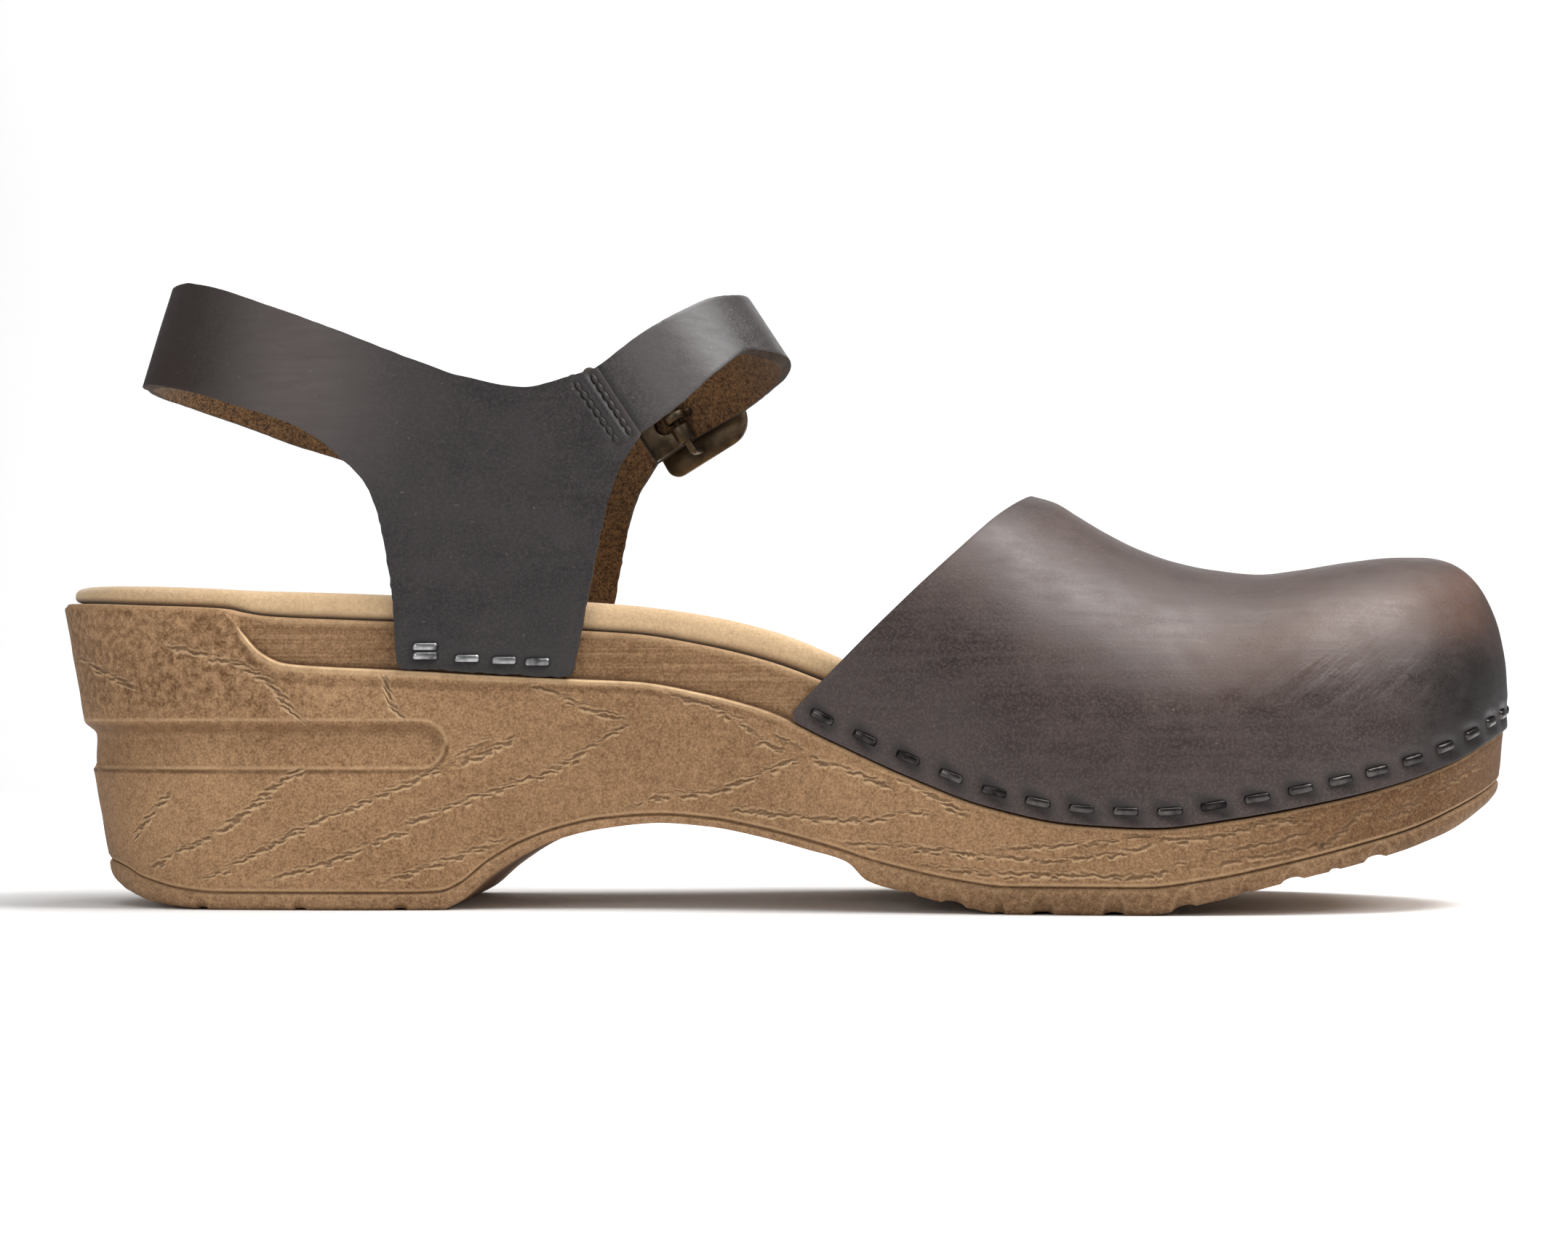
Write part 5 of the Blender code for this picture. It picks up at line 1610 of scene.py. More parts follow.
    def build(self) -> Piece:
        """Outer face from both sides' columns, moved in by creases and staple dents, then walled inward.

        Its normals are the step along columns crossed with the step along rows.

        Returns:
            The piece.
        """
        share = np.linspace(0.0, 1.0, self.columns + 1) ** 0.95
        rows = np.linspace(0.0, 1.0, self.rows + 1)[:, None] ** 1.45
        high, wide = self.trim
        trim = high * (1 - np.sqrt(np.clip(1 - (1 - share / wide) ** 2, 0.0, 1.0))) * (share < wide)
        rows = rows + trim * (1 - rows)
        near = self.points(share, Side.MEDIAL, rows)
        far = self.points(share, Side.LATERAL, rows)[:, -2::-1]
        outer = np.concatenate([near, far], 1)
        normal = unit(np.cross(np.gradient(outer, axis=1), np.gradient(outer, axis=0)))
        normal[-1] = (0.0, 0.0, 1.0)
        lower = 1 - ease(0.90, 1.0, rows[:, :1])
        shift = self.press(outer) + self.creases(outer)
        shift = shift - 0.10 * value_noise(outer, 9.0, 31) - 0.05 * value_noise(outer, 3.5, 32)
        outer = outer - normal * (shift * lower)[..., None]
        from_peak = np.hypot(outer[..., 0] - self.peak + 7.0, (outer[..., 2] - 68.0) * 0.6)
        outer[..., 2] += self.throat_lift * bell(from_peak, 6.0)
        draft = Draft()
        index = draft.add(outer, **self.marks(outer, normal))
        half = index.shape[1] // 2
        index[-1, half + 1 :] = index[-1, :half][::-1]
        draft.quads(index)
        piece = leather_piece("vamp_upper", draft, VAMP_FINISH, self.last.leather, 0.35)
        return seat(piece, "vamp_leather", "vamp")

    def marks(self, outer: Array, normal: Array) -> dict[str, Array]:
        """Attributes by the face's direction: burnished top that is also painted highlight, painted shade on
        the crest, nose, lower toe and staple rims, worn toe, folds.

        Args:
            outer: Points [row, column, 3].
            normal: Their normals before they were moved.

        Returns:
            Array [row, column] for each attribute.
        """
        x, y, z = np.moveaxis(outer, -1, 0)
        ahead, aside, upward = np.moveaxis(normal, -1, 0)
        # Crest, nose, lower toe and staple rims get painted shade; upward faces get painted highlight with
        # the burnish
        crest = ease(0.66, 1.0, upward)
        nose = ease(0.60, 0.95, ahead)
        toe = ease(0.25, 0.75, ahead) * ease(200.0, 236.0, x)
        burnish = ease(0.20, 0.75, upward) * (0.40 + 0.60 * ease(176.0, 222.0, x)) * (1 - 0.6 * crest)
        rims = np.clip(2.6 * self.press(outer), 0.0, 0.8) * (aside * np.sign(y) > -0.9)
        below = toe * (1 - ease(0.25, 0.6, upward)) * (1 - ease(38.0, 54.0, z))
        return {
            "burnish": np.clip(burnish, 0, 1),
            "dusk": np.max([below, rims, 0.2 * crest, 0.55 * nose], axis=0),
            "worn": 0.9 * toe * ease(40.0, 52.0, z) * (1 - ease(0.35, 0.8, upward)) * (1 - 0.7 * nose),
            "crease": bell(x - 221.0, 11.0) * bell(z - 37.0, 6.5),
        }


@dataclass
class AnkleLoop:
    """Surface that quarters, heel strap and ankle strap lie on: a leaning superellipse round the ankle."""

    last: Last
    back: tuple[float, float, float] = (15.0, 0.31, 92.0)
    front: tuple[float, float, float] = (130.5, -0.66, 95.8)
    half_width: float = 32.0
    power: float = 2.3
    blend: tuple[float, float] = (48.0, 72.0)
    lateral_drop: float = 2.0

    def span(self, z: Array) -> tuple[Array, Array]:
        """Middle and half length at height z, between lines of a place, a lean and the place's height."""
        back, front = (x + lean * (z - at) for x, lean, at in (self.back, self.front))
        return (back + front) / 2, (front - back) / 2

    def turn(self, x: Array, z: Array) -> Array:
        """Angle round the loop of a point at x and height z: 0 at the back, pi at the front."""
        middle, half = self.span(z)
        return np.arccos(signed(np.clip((middle - x) / half, -1.0, 1.0), self.power / 2))

    def points(self, turn: Array, z: Array, side: Array, away: Array) -> Array:
        """Points at angles and heights, away from the quarters' outer face.

        x is middle - half cos^(2/p), y the half width sin^(2/p); below the blend, y runs over to the
        sole's own side. The heel strap's lateral half hangs a little lower.

        Args:
            turn: Angles from 0 at the back to pi at the front.
            z: Heights.
            side: -1 or 1 for each point.
            away: Distance outward along the plan normal.

        Returns:
            Array [..., 3].
        """
        last = self.last
        middle, half = self.span(z)
        c, s = np.cos(turn), np.abs(np.sin(turn))
        u = signed(c, 2 / self.power)
        v = s ** (2 / self.power)
        x = middle - half * u
        low = 1 - ease(*self.blend, z)
        stand = np.clip(x, 40.0, 130.0)
        width = np.where(side < 0, last.width(stand, Side.MEDIAL), last.width(stand, Side.LATERAL))
        y = self.half_width * v * (1 - low) + (width - last.band_depth + last.gap + last.leather) * low
        lean_x = -np.sign(c) * np.abs(u) ** (self.power - 1) / half
        lean_y = v ** (self.power - 1) / self.half_width
        size = np.hypot(lean_x, lean_y)
        drop = self.lateral_drop * (1 - ease(36.0, 62.0, x)) * (1 + side * y / self.half_width) / 2
        return np.stack([x + lean_x / size * away, side * (y + lean_y / size * away), z - drop], -1)

    def side_points(self, x: Array, z: Array, side: Side, away: float = 0.0) -> Array:
        """Points of the quarters' outer face by their side view."""
        return self.points(self.turn(x, z), z, np.full(x.shape, side.value), np.full(x.shape, away))

    def edge_lines(self, rows: Sequence[EdgeRow]) -> list[SmoothCurve]:
        """Curves of a band's edges against its share; rows on the far side count on from pi to 2 pi.

        Args:
            rows: The band's table.

        Returns:
            Angle and height of the lower edge, then of the upper one.
        """
        share, *edges = np.array([row[:5] for row in rows]).T
        far = np.array([row.side for row in rows]) > 0
        lines = []
        for x, z in (edges[:2], edges[2:]):
            turn = self.turn(x, z)
            lines += [SmoothCurve(share, np.where(far, 2 * math.pi - turn, turn)), SmoothCurve(share, z)]
        return lines


@dataclass
class QuarterStrap:
    """Both T-shaped quarters and the heel strap between them, as one leather."""

    loop: AnkleLoop
    quarter_columns: int = 108
    heel_columns: int = 84
    band_rows: int = 32
    leg_rows: int = 52
    staple_x: tuple[float, ...] = (68.8, 75.8, 82.0, 87.6)
    staple_rise: float = 2.3
    doubled_rise: float = 3.85

    def staple_frames(self) -> Frames:
        """Places four staples a side, and a doubled one on the medial side.

        Returns:
            Middle, run and upward direction of each staple.
        """
        last, face = self.loop.last, self.loop.side_points
        sets = []
        for side in Side:
            x = np.array(self.staple_x)
            rise = np.full(len(x), self.staple_rise)
            if side is Side.MEDIAL:
                x = np.append(x, self.staple_x[0])
                rise = np.append(rise, self.doubled_rise)
            z = last.over["ledge"](x) + last.gap + rise
            run = unit((face(x + 1, z, side) - face(x - 1, z, side)) * -side.value)
            sets.append((face(x, z, side), run, unit(face(x, z + 1, side) - face(x, z - 1, side))))
        return joined(sets)

    def press(self, points: Array) -> Array:
        """Depth pressed in round the staples."""
        return staple_dents(points, self.staple_frames(), 2.7, 1.3, 0.30)

    def build(self) -> Piece:
        """Band grid from one arm round the heel to the other, with a leg grid hung under each end.

        Returns:
            The piece.
        """
        loop = self.loop
        quarter = np.linspace(0.0, 1.0, self.quarter_columns + 1)
        heel = np.linspace(0.0, 1.0, self.heel_columns + 1)
        runs = (
            (QUARTER_BAND, quarter, Side.MEDIAL),
            (HEEL_BAND, heel[1:], Side.MEDIAL),
            (HEEL_BAND, heel[-2::-1], Side.LATERAL),
            (QUARTER_BAND, quarter[-2::-1], Side.LATERAL),
        )
        found = [[line(share) for line in loop.edge_lines(rows)] for rows, share, _ in runs]
        low_turn, low_z, high_turn, high_z = (np.concatenate(parts) for parts in zip(*found))
        side = np.concatenate([np.full(len(share), side.value) for _, share, side in runs])
        across = np.linspace(0.0, 1.0, self.band_rows + 1)[:, None]
        turn = low_turn + (high_turn - low_turn) * across
        z = low_z + (high_z - low_z) * across
        rough = 0.05 * ripple(1.1, 41, turn * 40.0, z)
        border = np.exp(-across / 0.04) + np.exp(-(1 - across) / 0.04)
        band = loop.points(turn, z + rough * border, np.broadcast_to(side, z.shape), np.zeros(z.shape))
        column = np.arange(len(side))
        # Painted highlight along the band's two cut ends
        end = 0.6 * np.exp(-np.minimum(column, column[::-1]) / 1.6)
        sewn, _ = self.seam(band)
        draft = Draft()
        # Painted highlight from the bell and the ends; painted shade in the stitch troughs
        index = draft.add(
            self.soften(band),
            burnish=1 - ease(16.0, 40.0, band[..., 0]),
            worn=np.maximum(self.painted_highlight(band), end),
            dusk=0.75 * sewn,
        )
        draft.quads(index, flip=True)
        self.leg(draft, Side.MEDIAL, quarter, index[0, : len(quarter)])
        self.leg(draft, Side.LATERAL, quarter, index[0, ::-1][: len(quarter)])
        piece = leather_piece("quarter_and_heel_strap", draft, QUARTER_FINISH, loop.last.leather, 0.30)
        return seat(piece, "strap_leather", "quarter_strap")

    def leg(self, draft: Draft, side: Side, f: Array, tops: Array) -> None:
        """Adds a leg: straight rows between its two edges, which near the top bend to the band's lower edge.

        The bend grows with the cube of the height. The foot is brought to the ledge, with rounded corners and
        a slight wave, by the sixth power of what is left below.

        Args:
            draft: Where the leg goes.
            side: Medial or lateral.
            f: Place of each column, from the front edge (0) to the rear one (1).
            tops: Index of each point of the band's lower edge above it.
        """
        loop, last, sign = self.loop, self.loop.last, side.value
        t = np.linspace(0.0, 1.0, self.leg_rows + 1)[:-1, None]
        rear_x, rear_z, front_x, front_z = (curves(LEG)[name](t) for name in EdgeRow._fields[1:5])
        x = front_x + (rear_x - front_x) * f
        z = front_z + (rear_z - front_z) * f
        foot = last.over["ledge"](x[:1]) + last.gap - z[:1]
        corner = 1.4 * (np.clip(1 - f * 30, 0, 1) ** 2 + np.clip(1 - (1 - f) * 30, 0, 1) ** 2)
        wave = 0.22 * ripple(5.0, 47 + sign, x[:1], 0 * x[:1]) + 0.16 * ripple(1.3, 49, x[:1], x[:1])
        z = z + (foot + corner + wave) * (1 - t) ** 6
        top_turn, top_z, _, _ = (line(f) for line in loop.edge_lines(QUARTER_BAND))
        end = LEG[-1]
        line_x = end.high_x + (end.low_x - end.high_x) * f
        line_z = end.high_z + (end.low_z - end.high_z) * f
        turn = loop.turn(x, z) + (top_turn - loop.turn(line_x, line_z)) * t**3
        z = z + (top_z - line_z) * t**3
        ragged = 0.10 * ripple(1.0, 43, x, z) * (np.exp(-f / 0.02) - np.exp(-(1 - f) / 0.02))
        points = loop.points(turn + ragged / 60.0, z, np.full(z.shape, sign), np.zeros(z.shape))
        # Painted shade round the staple dents and along the lower edge over the ledge; painted highlight from
        # the bell
        rims = np.clip(3.0 * self.press(points), 0.0, 0.85)
        hem = 0.7 * (1 - ease(0.0, 1.3, z - z[:1]))
        ids = draft.add(self.soften(points), worn=self.painted_highlight(points), dusk=np.maximum(rims, hem))
        draft.quads(np.concatenate([ids, tops[None]]), flip=side is Side.MEDIAL)

    def painted_highlight(self, points: Array) -> Array:
        """Painted highlight where the heel strap leaves the quarters: a bell along x that fades downward."""
        return 0.75 * bell(points[..., 0] - 46.0, 17.0) * ease(64.0, 88.0, points[..., 2])

    def soften(self, points: Array) -> Array:
        """Adds slow unevenness, staple dents and the seam's troughs along the outward direction in plan.

        Args:
            points: Array [..., 3] of the outer face.

        Returns:
            The moved points.
        """
        middle, _ = self.loop.span(points[..., 2])
        outward = points - np.stack([middle, 0 * middle, points[..., 2]], -1)
        outward[..., 0] *= 0.35
        sewn, strip = self.seam(points)
        amount = 0.10 * value_noise(points, 11.0, 51) - self.press(points) - 0.42 * sewn + 0.22 * strip
        return points + unit(outward) * amount[..., None]

    def seam(self, points: Array) -> tuple[Array, Array]:
        """Sewn end of the medial arm: a bell across each row of stitches, and one across the strip between.

        Args:
            points: Array [..., 3] of the outer face.

        Returns:
            Nearness to the rows and to the strip, from 0 to 1.
        """
        near = []
        for ends in (*STITCH_ROWS, np.mean(STITCH_ROWS, axis=0)):
            along, off, length = beside_line(points[..., 0], points[..., 2], ends)
            inside = ease(-1.2, 0.2, along) * (1 - ease(length - 0.2, length + 1.2, along))
            near.append(bell(off, 0.62) * inside * (points[..., 1] < 0))
        return np.maximum(near[0], near[1]), near[2]


@dataclass
class AnkleStrap:
    """Front strap: sewn under the medial arm, round the front, out through the buckle to its tail."""

    loop: AnkleLoop
    inside: float = -2.3
    outside: float = 2.2
    columns: int = 260
    rows: int = 16
    buckle_at: float = 0.718
    tip_at: float = 0.965
    tip_length: float = 0.0365
    hole_radius: float = 0.75
    hole_pitch: float = 10.6
    slot_half: float = 0.75
    slot_ends: tuple[float, float] = (1.4, 3.1)

    def __post_init__(self) -> None:
        """Makes the edge curves."""
        self.lines = self.loop.edge_lines(ANKLE)
        self.passing = curves(ANKLE)["outside"]

    def points(self, share: Array, across: Array) -> Array:
        """Outer face; across is 0 at the lower edge and 1 at the upper one.

        Args:
            share: Places along the strap.
            across: Places across it, of the same shape.

        Returns:
            Array [..., 3].
        """
        low_turn, low_z, high_turn, high_z = (line(share) for line in self.lines)
        turn = low_turn + (high_turn - low_turn) * across
        z = low_z + (high_z - low_z) * across
        side = np.where(turn <= math.pi, -1, 1)
        away = self.inside + (self.outside + self.loop.last.leather - self.inside) * self.passing(share)
        return self.loop.points(np.where(side < 0, turn, 2 * math.pi - turn), z, side, away)

    def axes(self, share: float) -> tuple[Array, Array, Array, Array]:
        """Axes at a place on the strap, from its neighbours along and across.

        Args:
            share: The place.

        Returns:
            Origin, along the strap to its front, up across it, and outward.
        """
        at = np.array([share - 0.02, share + 0.02, share, share, share])
        over = np.array([0.5, 0.5, 0.9, 0.1, 0.5])
        front, rear, high, low, middle = self.points(at, over)
        along = unit(front - rear)
        out = unit(np.cross(along, high - low))
        out = out if out[1] > 0 else -out
        return middle, along, np.cross(out, along), out

    def build(self) -> Piece:
        """Grid along and across the strap with an oval tip, walled inward, then cut through by its holes.

        Returns:
            The piece.
        """
        share = np.linspace(0.0, 1.0, self.columns + 1)[None]
        across = np.linspace(0.0, 1.0, self.rows + 1)[:, None]
        rough = 0.004 * ripple(0.9, 61, share * 110.0, across * 4.0)
        border = np.exp(-across / 0.05) + np.exp(-(1 - across) / 0.05)
        past = np.clip(share - self.tip_at, 0, 1) / self.tip_length
        tip = 0.5 + (across - 0.5) * np.sqrt(np.clip(1 - past**2, 0.16, 1))
        share, over = np.broadcast_arrays(share, tip + rough * border)
        # Painted highlight on the strap's first stretch
        worn = 0.45 * ease(0.10, 0.18, share) * (1 - ease(0.22, 0.30, share))
        # Painted shade where the strap passes under the arm's end
        dusk = 0.85 * (1 - ease(0.078, 0.098, share))
        draft = Draft()
        draft.quads(draft.add(self.points(share, over), worn=worn, dusk=dusk))
        piece = leather_piece("ankle_strap_leather", draft, STRAP_FINISH, self.loop.last.leather, 0.30)
        self.punch(piece)
        return seat(piece, "strap_leather", "ankle_strap")

    def punch(self, piece: Piece) -> None:
        """Cuts the prong's slot and the round adjusting holes through the strap.

        Args:
            piece: The strap.
        """
        ring = rounded_profile(24, 2.0)
        low, high = self.slot_ends
        reach = (high - low) / 2 - self.slot_half
        oval = ring * self.slot_half + np.sign(ring) * np.array([reach, 0.0])
        cutters = [self.cutter(oval + np.array([(low + high) / 2, 0.0]), self.buckle_at)]
        step = np.linalg.norm(np.diff(self.points(np.array([0.70, 0.73]), np.array([0.5, 0.5])), axis=0))
        for k in (-1, -2):
            place = self.buckle_at - (3.0 + self.hole_pitch * k) * 0.03 / step
            cutters.append(self.cutter(ring * self.hole_radius, place))
        for cutter in cutters:
            cut = piece.modifiers.new(cutter.name, "BOOLEAN")
            cut.operation = "DIFFERENCE"
            cut.solver = "EXACT"
            cut.object = cutter
        bake(piece, 42.0)
        for cutter in cutters:
            mesh = cutter.data
            bpy.data.objects.remove(cutter, do_unlink=True)
            bpy.data.meshes.remove(mesh)

    def cutter(self, outline: Array, share: float) -> Piece:
        """Prism through the strap over an outline.

        Args:
            outline: Array [point, 2], along and across the strap.
            share: Place on the strap.

        Returns:
            The prism.
        """
        origin, along, up, out = self.axes(share)
        depth = np.array([[-self.loop.last.leather - 1.6], [1.6]])
        draft = Draft()
        draft.sweep(origin + depth * out, along, up, outline)
        return draft.build("strap_hole", [])


@dataclass
class Buckle:
    """Antique brass buckle: frame, centre bar on two posts, folded plate and prong.

    Its shapes are worked out along the strap, across it and outward, then turned into place.
    """

    strap: AnkleStrap
    back: float = -8.0
    front: float = 11.2
    width: float = 19.0
    side_bar: float = 5.0
    post_reach: float = 7.3
    end_bar: float = 3.4
    thick: float = 1.8
    outer_corners: tuple[float, float] = (2.4, 5.2)
    inner_corners: tuple[float, float] = (1.0, 2.2)
    bar_radius: float = 0.9
    bar_share: float = 0.72
    sheet: float = 0.8
    prong_width: float = 1.8
    prong_thick: float = 0.9
    prong_tip: float = 11.4
    prong_slim: float = 0.72

    def __post_init__(self) -> None:
        """Takes the buckle's place from the strap."""
        last = self.strap.loop.last
        self.gap = last.gap
        self.bar_z = -last.leather - self.gap - (self.bar_radius + self.gap + self.sheet)
        self.place = self.strap.axes(self.strap.buckle_at)
        self.brass = BRASS_FINISH.make()

    def plan(self, back: float, front: float, half: float, corners: tuple[float, float]) -> Array:
        """Rectangle with its own corner radius at the back and at the front, counter-clockwise.

        Args:
            back: Its back end.
            front: Its front end.
            half: Its half width.
            corners: Radius at the back and at the front.

        Returns:
            Array [point, 2].
        """
        behind, ahead = corners
        middles = (
            (front - ahead, half - ahead, ahead),
            (back + behind, half - behind, behind),
            (back + behind, behind - half, behind),
            (front - ahead, ahead - half, ahead),
        )
        arcs = []
        for k, (x, y, r) in enumerate(middles):
            turns = np.linspace(0.0, QUARTER_TURN, 12) + k * QUARTER_TURN
            arcs.append(np.stack([x + r * np.cos(turns), y + r * np.sin(turns)], 1))
        return np.concatenate(arcs)

    def build(self) -> list[Piece]:
        """Makes frame and bar, plate and prong."""
        return [self.frame(), self.plate(), self.prong()]

    def frame(self) -> Piece:
        """Ring between an outer and an inner outline, of rounded flat section, and the bent centre bar.

        Returns:
            The piece.
        """
        half = self.width / 2
        outer = self.plan(self.back, self.front, half, self.outer_corners)
        window = (self.back + self.end_bar, self.front - self.end_bar, half - self.side_bar)
        inner = self.plan(*window, self.inner_corners)
        middle = np.column_stack([(outer + inner) / 2, np.full(len(outer), self.gap + self.thick / 2)])
        across = np.column_stack([(outer - inner) / 2, np.zeros(len(outer))])
        draft = Draft()
        over = np.array([0.0, 0.0, self.thick / 2])
        draft.sweep(middle, across, over, rounded_profile(20, 4.5), closed=True)
        reach, bend = self.post_reach, self.bar_radius
        turns = np.linspace(0.0, QUARTER_TURN, 6)
        high = self.gap + self.thick * 0.4
        left = np.stack([-reach + bend - bend * np.cos(turns), self.bar_z + bend - bend * np.sin(turns)], 1)
        right = (left * np.array([-1.0, 1.0]))[::-1]
        line = np.concatenate([[[-reach, high]], left, right, [[reach, high]]])
        path = np.column_stack([np.zeros(len(line)), line])
        lengthwise = np.array([1.0, 0.0, 0.0])
        thin = self.bar_radius * self.bar_share
        second = np.cross(unit(np.gradient(path, axis=0)), lengthwise) * thin
        draft.sweep(path, lengthwise * thin, second, rounded_profile(14, 2.6))
        draft.turn(*self.place)
        piece = draft.build("buckle_ring_and_bar", [self.brass])
        return seat(bake(piece, 45.0), "antique_brass", "buckle_frame")

    def plate(self) -> Piece:
        """The CAD plate's own form, with its arrises rounded.

        Returns:
            The piece.
        """
        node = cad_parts["buckle_plate"]
        piece = link("buckle_folded_plate", node.data.copy())
        piece.data.materials.clear()
        piece.data.materials.append(self.brass)
        piece.modifiers.new("weld", "WELD").merge_threshold = 1e-6
        round_edges(piece, 0.18, 38.0)
        bake(piece, 35.0)
        piece.data.polygons.foreach_set("use_smooth", np.ones(len(piece.data.polygons), bool))
        return seat(piece, "antique_brass", "buckle_plate")

    def prong(self) -> Piece:
        """Bar bent most of a turn round the centre bar, then out through the strap and along the frame.

        Returns:
            The piece.
        """
        turn = self.bar_radius + self.gap + self.prong_thick / 2
        angle = np.radians(np.linspace(100.0, 380.0, 26))
        round_bar = np.stack([turn * np.cos(angle), self.bar_z + turn * np.sin(angle)], 1)
        rest = 2 * self.gap + self.thick + self.prong_thick / 2
        rising = ((1.75, self.bar_z + 1.5), (2.4, -1.9), (3.4, -0.4), (4.7, 1.3))
        knots = np.array([*rising, (6.3, rest), (8.8, rest), (self.prong_tip, rest - 0.1)])
        run = np.concatenate([[0.0], np.cumsum(np.linalg.norm(np.diff(knots, axis=0), axis=1))])
        fine = np.linspace(0.0, run[-1], 30)
        out = np.stack([SmoothCurve(run, column)(fine) for column in knots.T], 1)
        line = np.concatenate([round_bar, out])
        path = np.stack([line[:, 0], 0 * line[:, 0], line[:, 1]], 1)
        slim = np.linspace(1.0, self.prong_slim, len(path))[:, None]
        crosswise = np.array([0.0, 1.0, 0.0])
        first = crosswise * self.prong_width / 2 * slim
        second = np.cross(unit(np.gradient(path, axis=0)), crosswise) * self.prong_thick / 2
        draft = Draft()
        draft.sweep(path, first, second, rounded_profile(14, 3.0))
        draft.turn(*self.place)
        piece = draft.build("buckle_prong_bent", [self.brass])
        return seat(bake(piece, 50.0), "antique_brass", "buckle_prong")


@dataclass
class Staples:
    """Flattened staple crowns whose ends turn down into the leather."""

    finish: MetalFinish
    length: float = 4.4
    height: float = 1.4
    thick: float = 0.55
    gap: float = -0.30
    bend: float = 0.45
    sunk: float = -0.7
    arch: float = 0.03

    def build(self, leather: str, frames: Frames) -> Piece:
        """One sweep for each staple: down into the leather, over and down again.

        Args:
            leather: The leather they hold, which names the piece and the CAD nodes.
            frames: Middle, run and upward direction of each staple.

        Returns:
            The piece with every staple of this set.
        """
        half = self.length / 2 - self.thick / 2
        crown = self.gap + self.thick / 2
        turns = np.linspace(0.0, QUARTER_TURN, 4)
        bend = self.bend
        left = np.stack([-half + bend - bend * np.cos(turns), crown - bend + bend * np.sin(turns)], 1)
        right = (left * np.array([-1.0, 1.0]))[::-1]
        start, middle, end = [[-half, self.sunk]], [[0.0, crown + self.arch]], [[half, self.sunk]]
        line = np.concatenate([start, left, middle, right, end])
        slope = unit(np.gradient(line, axis=0))
        draft = Draft()
        for origin, run, up in zip(*frames):
            out = np.cross(run, up)
            path = origin + line[:, :1] * run + line[:, 1:] * out
            second = (slope[:, :1] * out - slope[:, 1:] * run) * self.thick / 2
            first = np.cross(out, run) * self.height / 2
            draft.sweep(path, -first, second, rounded_profile(12, 2.3))
        piece = draft.build(f"{leather}_staple_row", [self.finish.make()])
        nodes = [node for node in sorted(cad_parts) if node.startswith(f"staple_{leather}")]
        return seat(bake(piece, 50.0), "staple_steel", *nodes)


@dataclass
class Stitches:
    """Two rows of stitches that hold the ankle strap under the medial arm."""

    loop: AnkleLoop
    count: int = 7
    length: float = 1.75
    radius: float = 0.36
    flat: float = 1.25
    bow: float = 0.36
    sunk: float = 0.55

    def build(self) -> Piece:
        """Each stitch is a thread that rises from one hole and sinks in the next, as a half sine.

        Returns:
            The piece.
        """
        draft = Draft()
        t = np.linspace(-0.5, 0.5, 9)
        bow = self.bow * np.cos(t * math.pi) - self.sunk
        for x0, z0, x1, z1 in STITCH_ROWS:
            for share in (np.arange(self.count) + 0.5) / self.count:
                at = share + t * self.length / math.hypot(x1 - x0, z1 - z0)
                x, z = x0 + (x1 - x0) * at, z0 + (z1 - z0) * at
                face = self.loop.side_points(x, z, Side.MEDIAL)
                out = unit(self.loop.side_points(x, z, Side.MEDIAL, 1.0) - face)
                path = face + out * bow[:, None]
                along = unit(np.gradient(path, axis=0))
                side = np.cross(out, along)
                over = np.cross(along, side) * self.radius
                draft.sweep(path, side * self.radius * self.flat, over, rounded_profile(10, 2.0))
        piece = draft.build("arm_stitches", [THREAD_FINISH.make()])
        return seat(bake(piece, 60.0), "strap_leather")


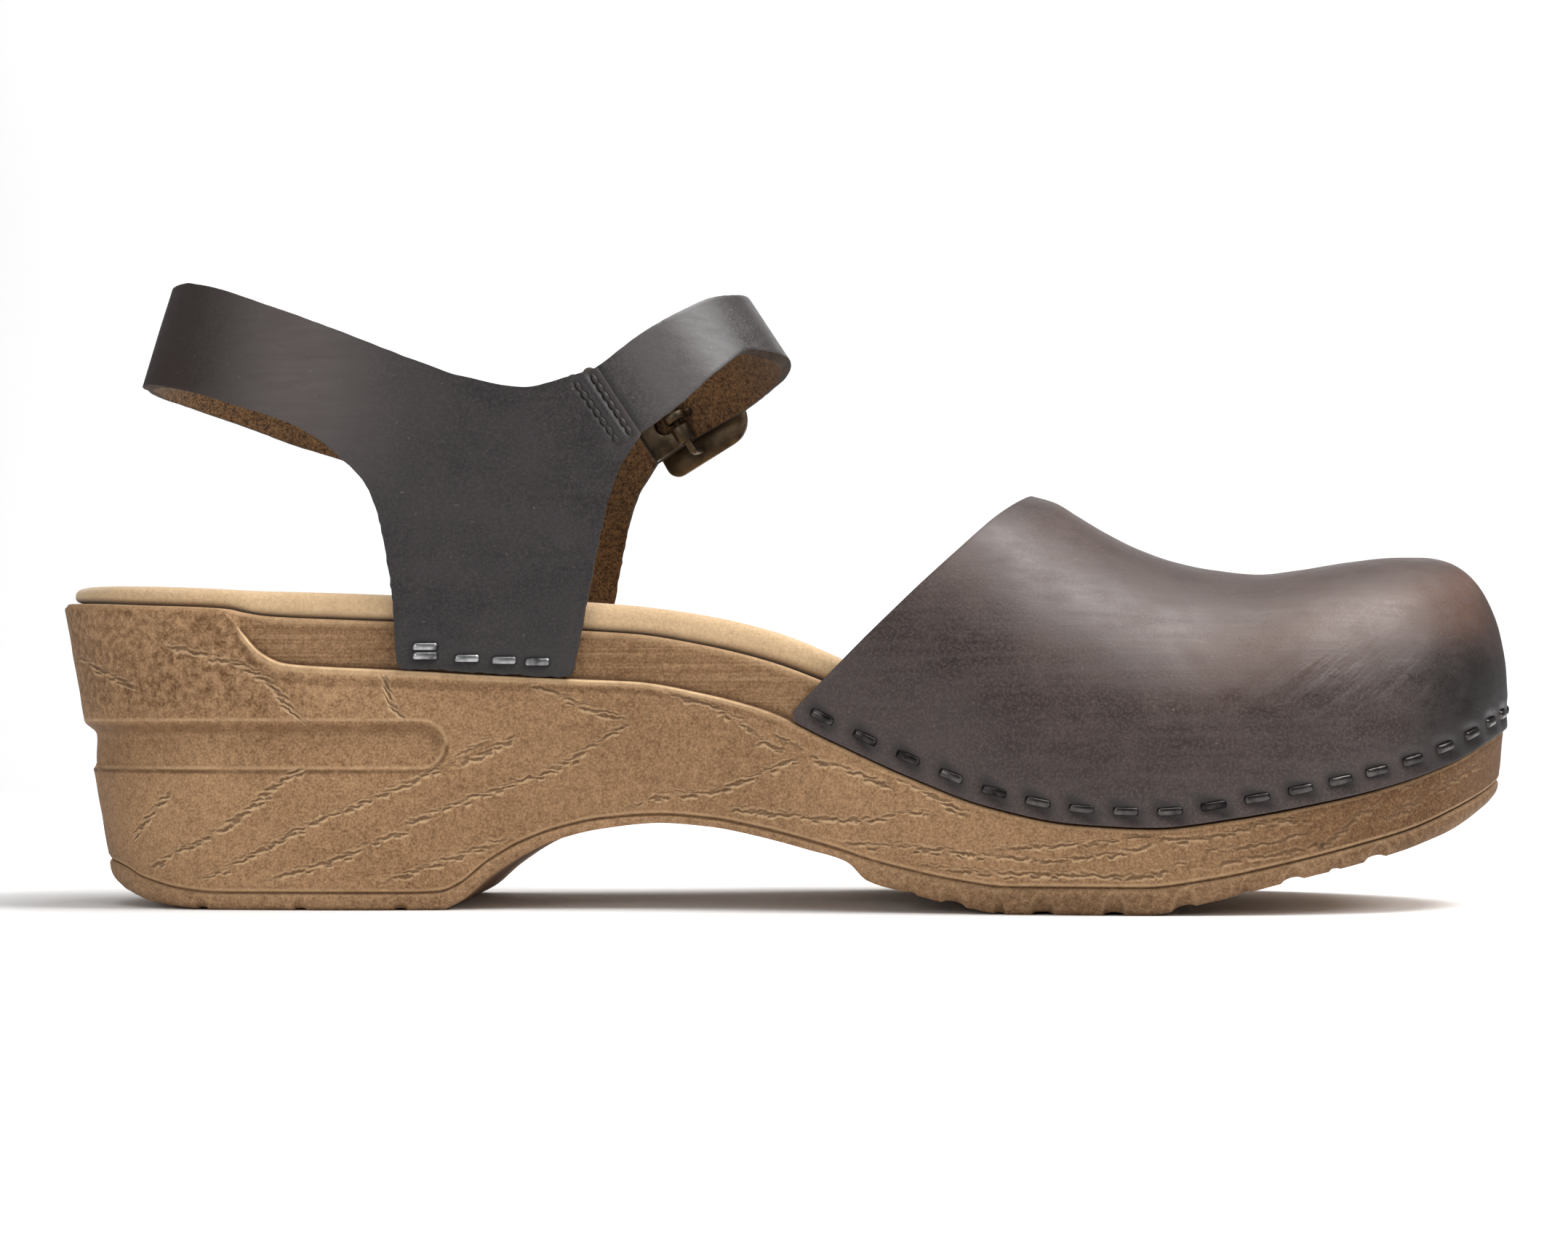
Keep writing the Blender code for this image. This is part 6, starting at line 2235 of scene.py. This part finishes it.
@dataclass
class Studio:
    """Pale floor, soft light and the photograph's camera."""

    eye: tuple[float, float, float] = (5.296, -559.486, 31.0)
    focal_px: float = 4310.0
    axis_px: tuple[float, float] = (1120.0, 1000.0)
    sensor: float = 36.0
    surround: float = 0.24
    floor_half: float = 0.58
    floor_ends: tuple[float, float] = (-0.9, 0.95)
    floor_bend: float = 0.35
    floor_top: float = 0.75
    light_middle: tuple[float, float, float] = (0.03, 0.0, 0.03)
    lights: tuple[SoftBox, ...] = table(
        SoftBox,
        ("key_above", 79.0, 66.0, 0.85, 0.50, 0.44, 7.7),
        ("side_toe", 70.0, 38.0, 0.90, 0.26, 0.26, 2.6),
        ("side_heel", -36.0, 14.0, 1.00, 0.36, 0.30, 1.7),
        ("front_toe", 30.0, 20.0, 1.00, 0.25, 0.25, 0.55),
        ("front_above", 0.0, 62.0, 0.95, 0.80, 0.30, 1.9),
        ("saddle_above", 170.0, 76.0, 0.90, 0.30, 0.24, 2.0),
        ("backdrop_wash", 180.0, 57.0, 1.08, 1.2, 0.3, 6.4, (0.0, 1.30, 0.20)),
    )

    def build(self) -> None:
        """Makes floor, world, lights and camera."""
        self.floor()
        self.world()
        for box in self.lights:
            self.softbox(box)
        self.camera()

    def floor(self) -> None:
        """Pale floor that turns up behind the shoe in a quarter circle, as a studio sweep."""
        near, far = self.floor_ends
        bend = self.floor_bend
        turn = np.linspace(0.0, QUARTER_TURN, 24)
        line = np.stack([far + bend * np.sin(turn), bend - bend * np.cos(turn)], 1)
        line = np.concatenate([[[near, 0.0]], line, [[far + bend, self.floor_top]]])
        count = len(line)
        edges = (-self.floor_half, self.floor_half)
        points = np.concatenate([np.column_stack([np.full(count, x), line]) for x in edges])
        index = np.arange(count - 1)
        faces = np.stack([index, index + count, index + count + 1, index + 1], 1)
        mesh = bpy.data.meshes.new("studio_floor")
        mesh.from_pydata(points.tolist(), [], faces.tolist())
        mesh.polygons.foreach_set("use_smooth", np.ones(len(faces), bool))
        paint = Paint("studio_floor_pale")
        paint.surface(Base_Color=(0.93, 0.93, 0.93), Roughness=0.9, Specular_IOR_Level=0.1)
        mesh.materials.append(paint.material)
        link("studio_floor", mesh)

    def world(self) -> None:
        """Dim even surround."""
        world = bpy.data.worlds.new("studio_surround")
        world.use_nodes = True
        back = world.node_tree.nodes["Background"]
        back.inputs["Color"].default_value = (1.0, 1.0, 1.0, 1.0)
        back.inputs["Strength"].default_value = self.surround
        bpy.context.scene.world = world
        bpy.context.scene.view_settings.view_transform = "Standard"

    def softbox(self, box: SoftBox) -> None:
        """Rectangular area light, placed by two angles and a distance, and aimed at a point.

        Args:
            box: The light's row.
        """
        light = bpy.data.lights.new(box.name, "AREA")
        light.shape = "RECTANGLE"
        light.size, light.size_y = box.width, box.depth
        light.energy = box.watts
        around, up = math.radians(box.around), math.radians(box.up)
        level = math.cos(up)
        outward = np.array([level * math.sin(around), -level * math.cos(around), math.sin(up)])
        place = outward * box.away + np.array(self.light_middle)
        x, y, z = place - np.array(box.target)
        obj = link(box.name, light)
        obj.location = place
        obj.rotation_euler = (math.atan2(math.hypot(x, y), z), 0.0, math.atan2(x, -y))

    def camera(self) -> None:
        """Camera level with the shoe's side; the shift puts its axis where the photograph has it."""
        wide, tall = PICTURE
        data = bpy.data.cameras.new("photo_camera")
        data.sensor_width = self.sensor
        data.lens = self.sensor * self.focal_px / wide
        data.shift_x = (wide / 2 - self.axis_px[0]) / wide
        data.shift_y = (self.axis_px[1] - tall / 2) / wide
        data.clip_start = 0.01
        obj = link("photo_camera", data)
        obj.location = tuple(v * MM for v in self.eye)
        obj.rotation_euler = (QUARTER_TURN, 0.0, 0.0)
        bpy.context.scene.camera = obj


def main() -> None:
    """Builds the studio and every piece in order."""
    logging.basicConfig(level=logging.INFO, format="%(name)s %(message)s")
    Studio().build()
    last = Last()
    Sole(last).build()
    Tread(last).build()
    Footbed(last).build()
    vamp = Vamp(last)
    vamp.build()
    loop = AnkleLoop(last)
    quarter = QuarterStrap(loop)
    quarter.build()
    strap = AnkleStrap(loop)
    strap.build()
    Buckle(strap).build()
    Staples(DARK_STEEL_FINISH, gap=-0.36).build("vamp", vamp.staple_frames())
    Staples(STEEL_FINISH, height=1.28, gap=-0.14).build("quarter", quarter.staple_frames())
    Stitches(loop).build()


if __name__ == "__main__":
    main()
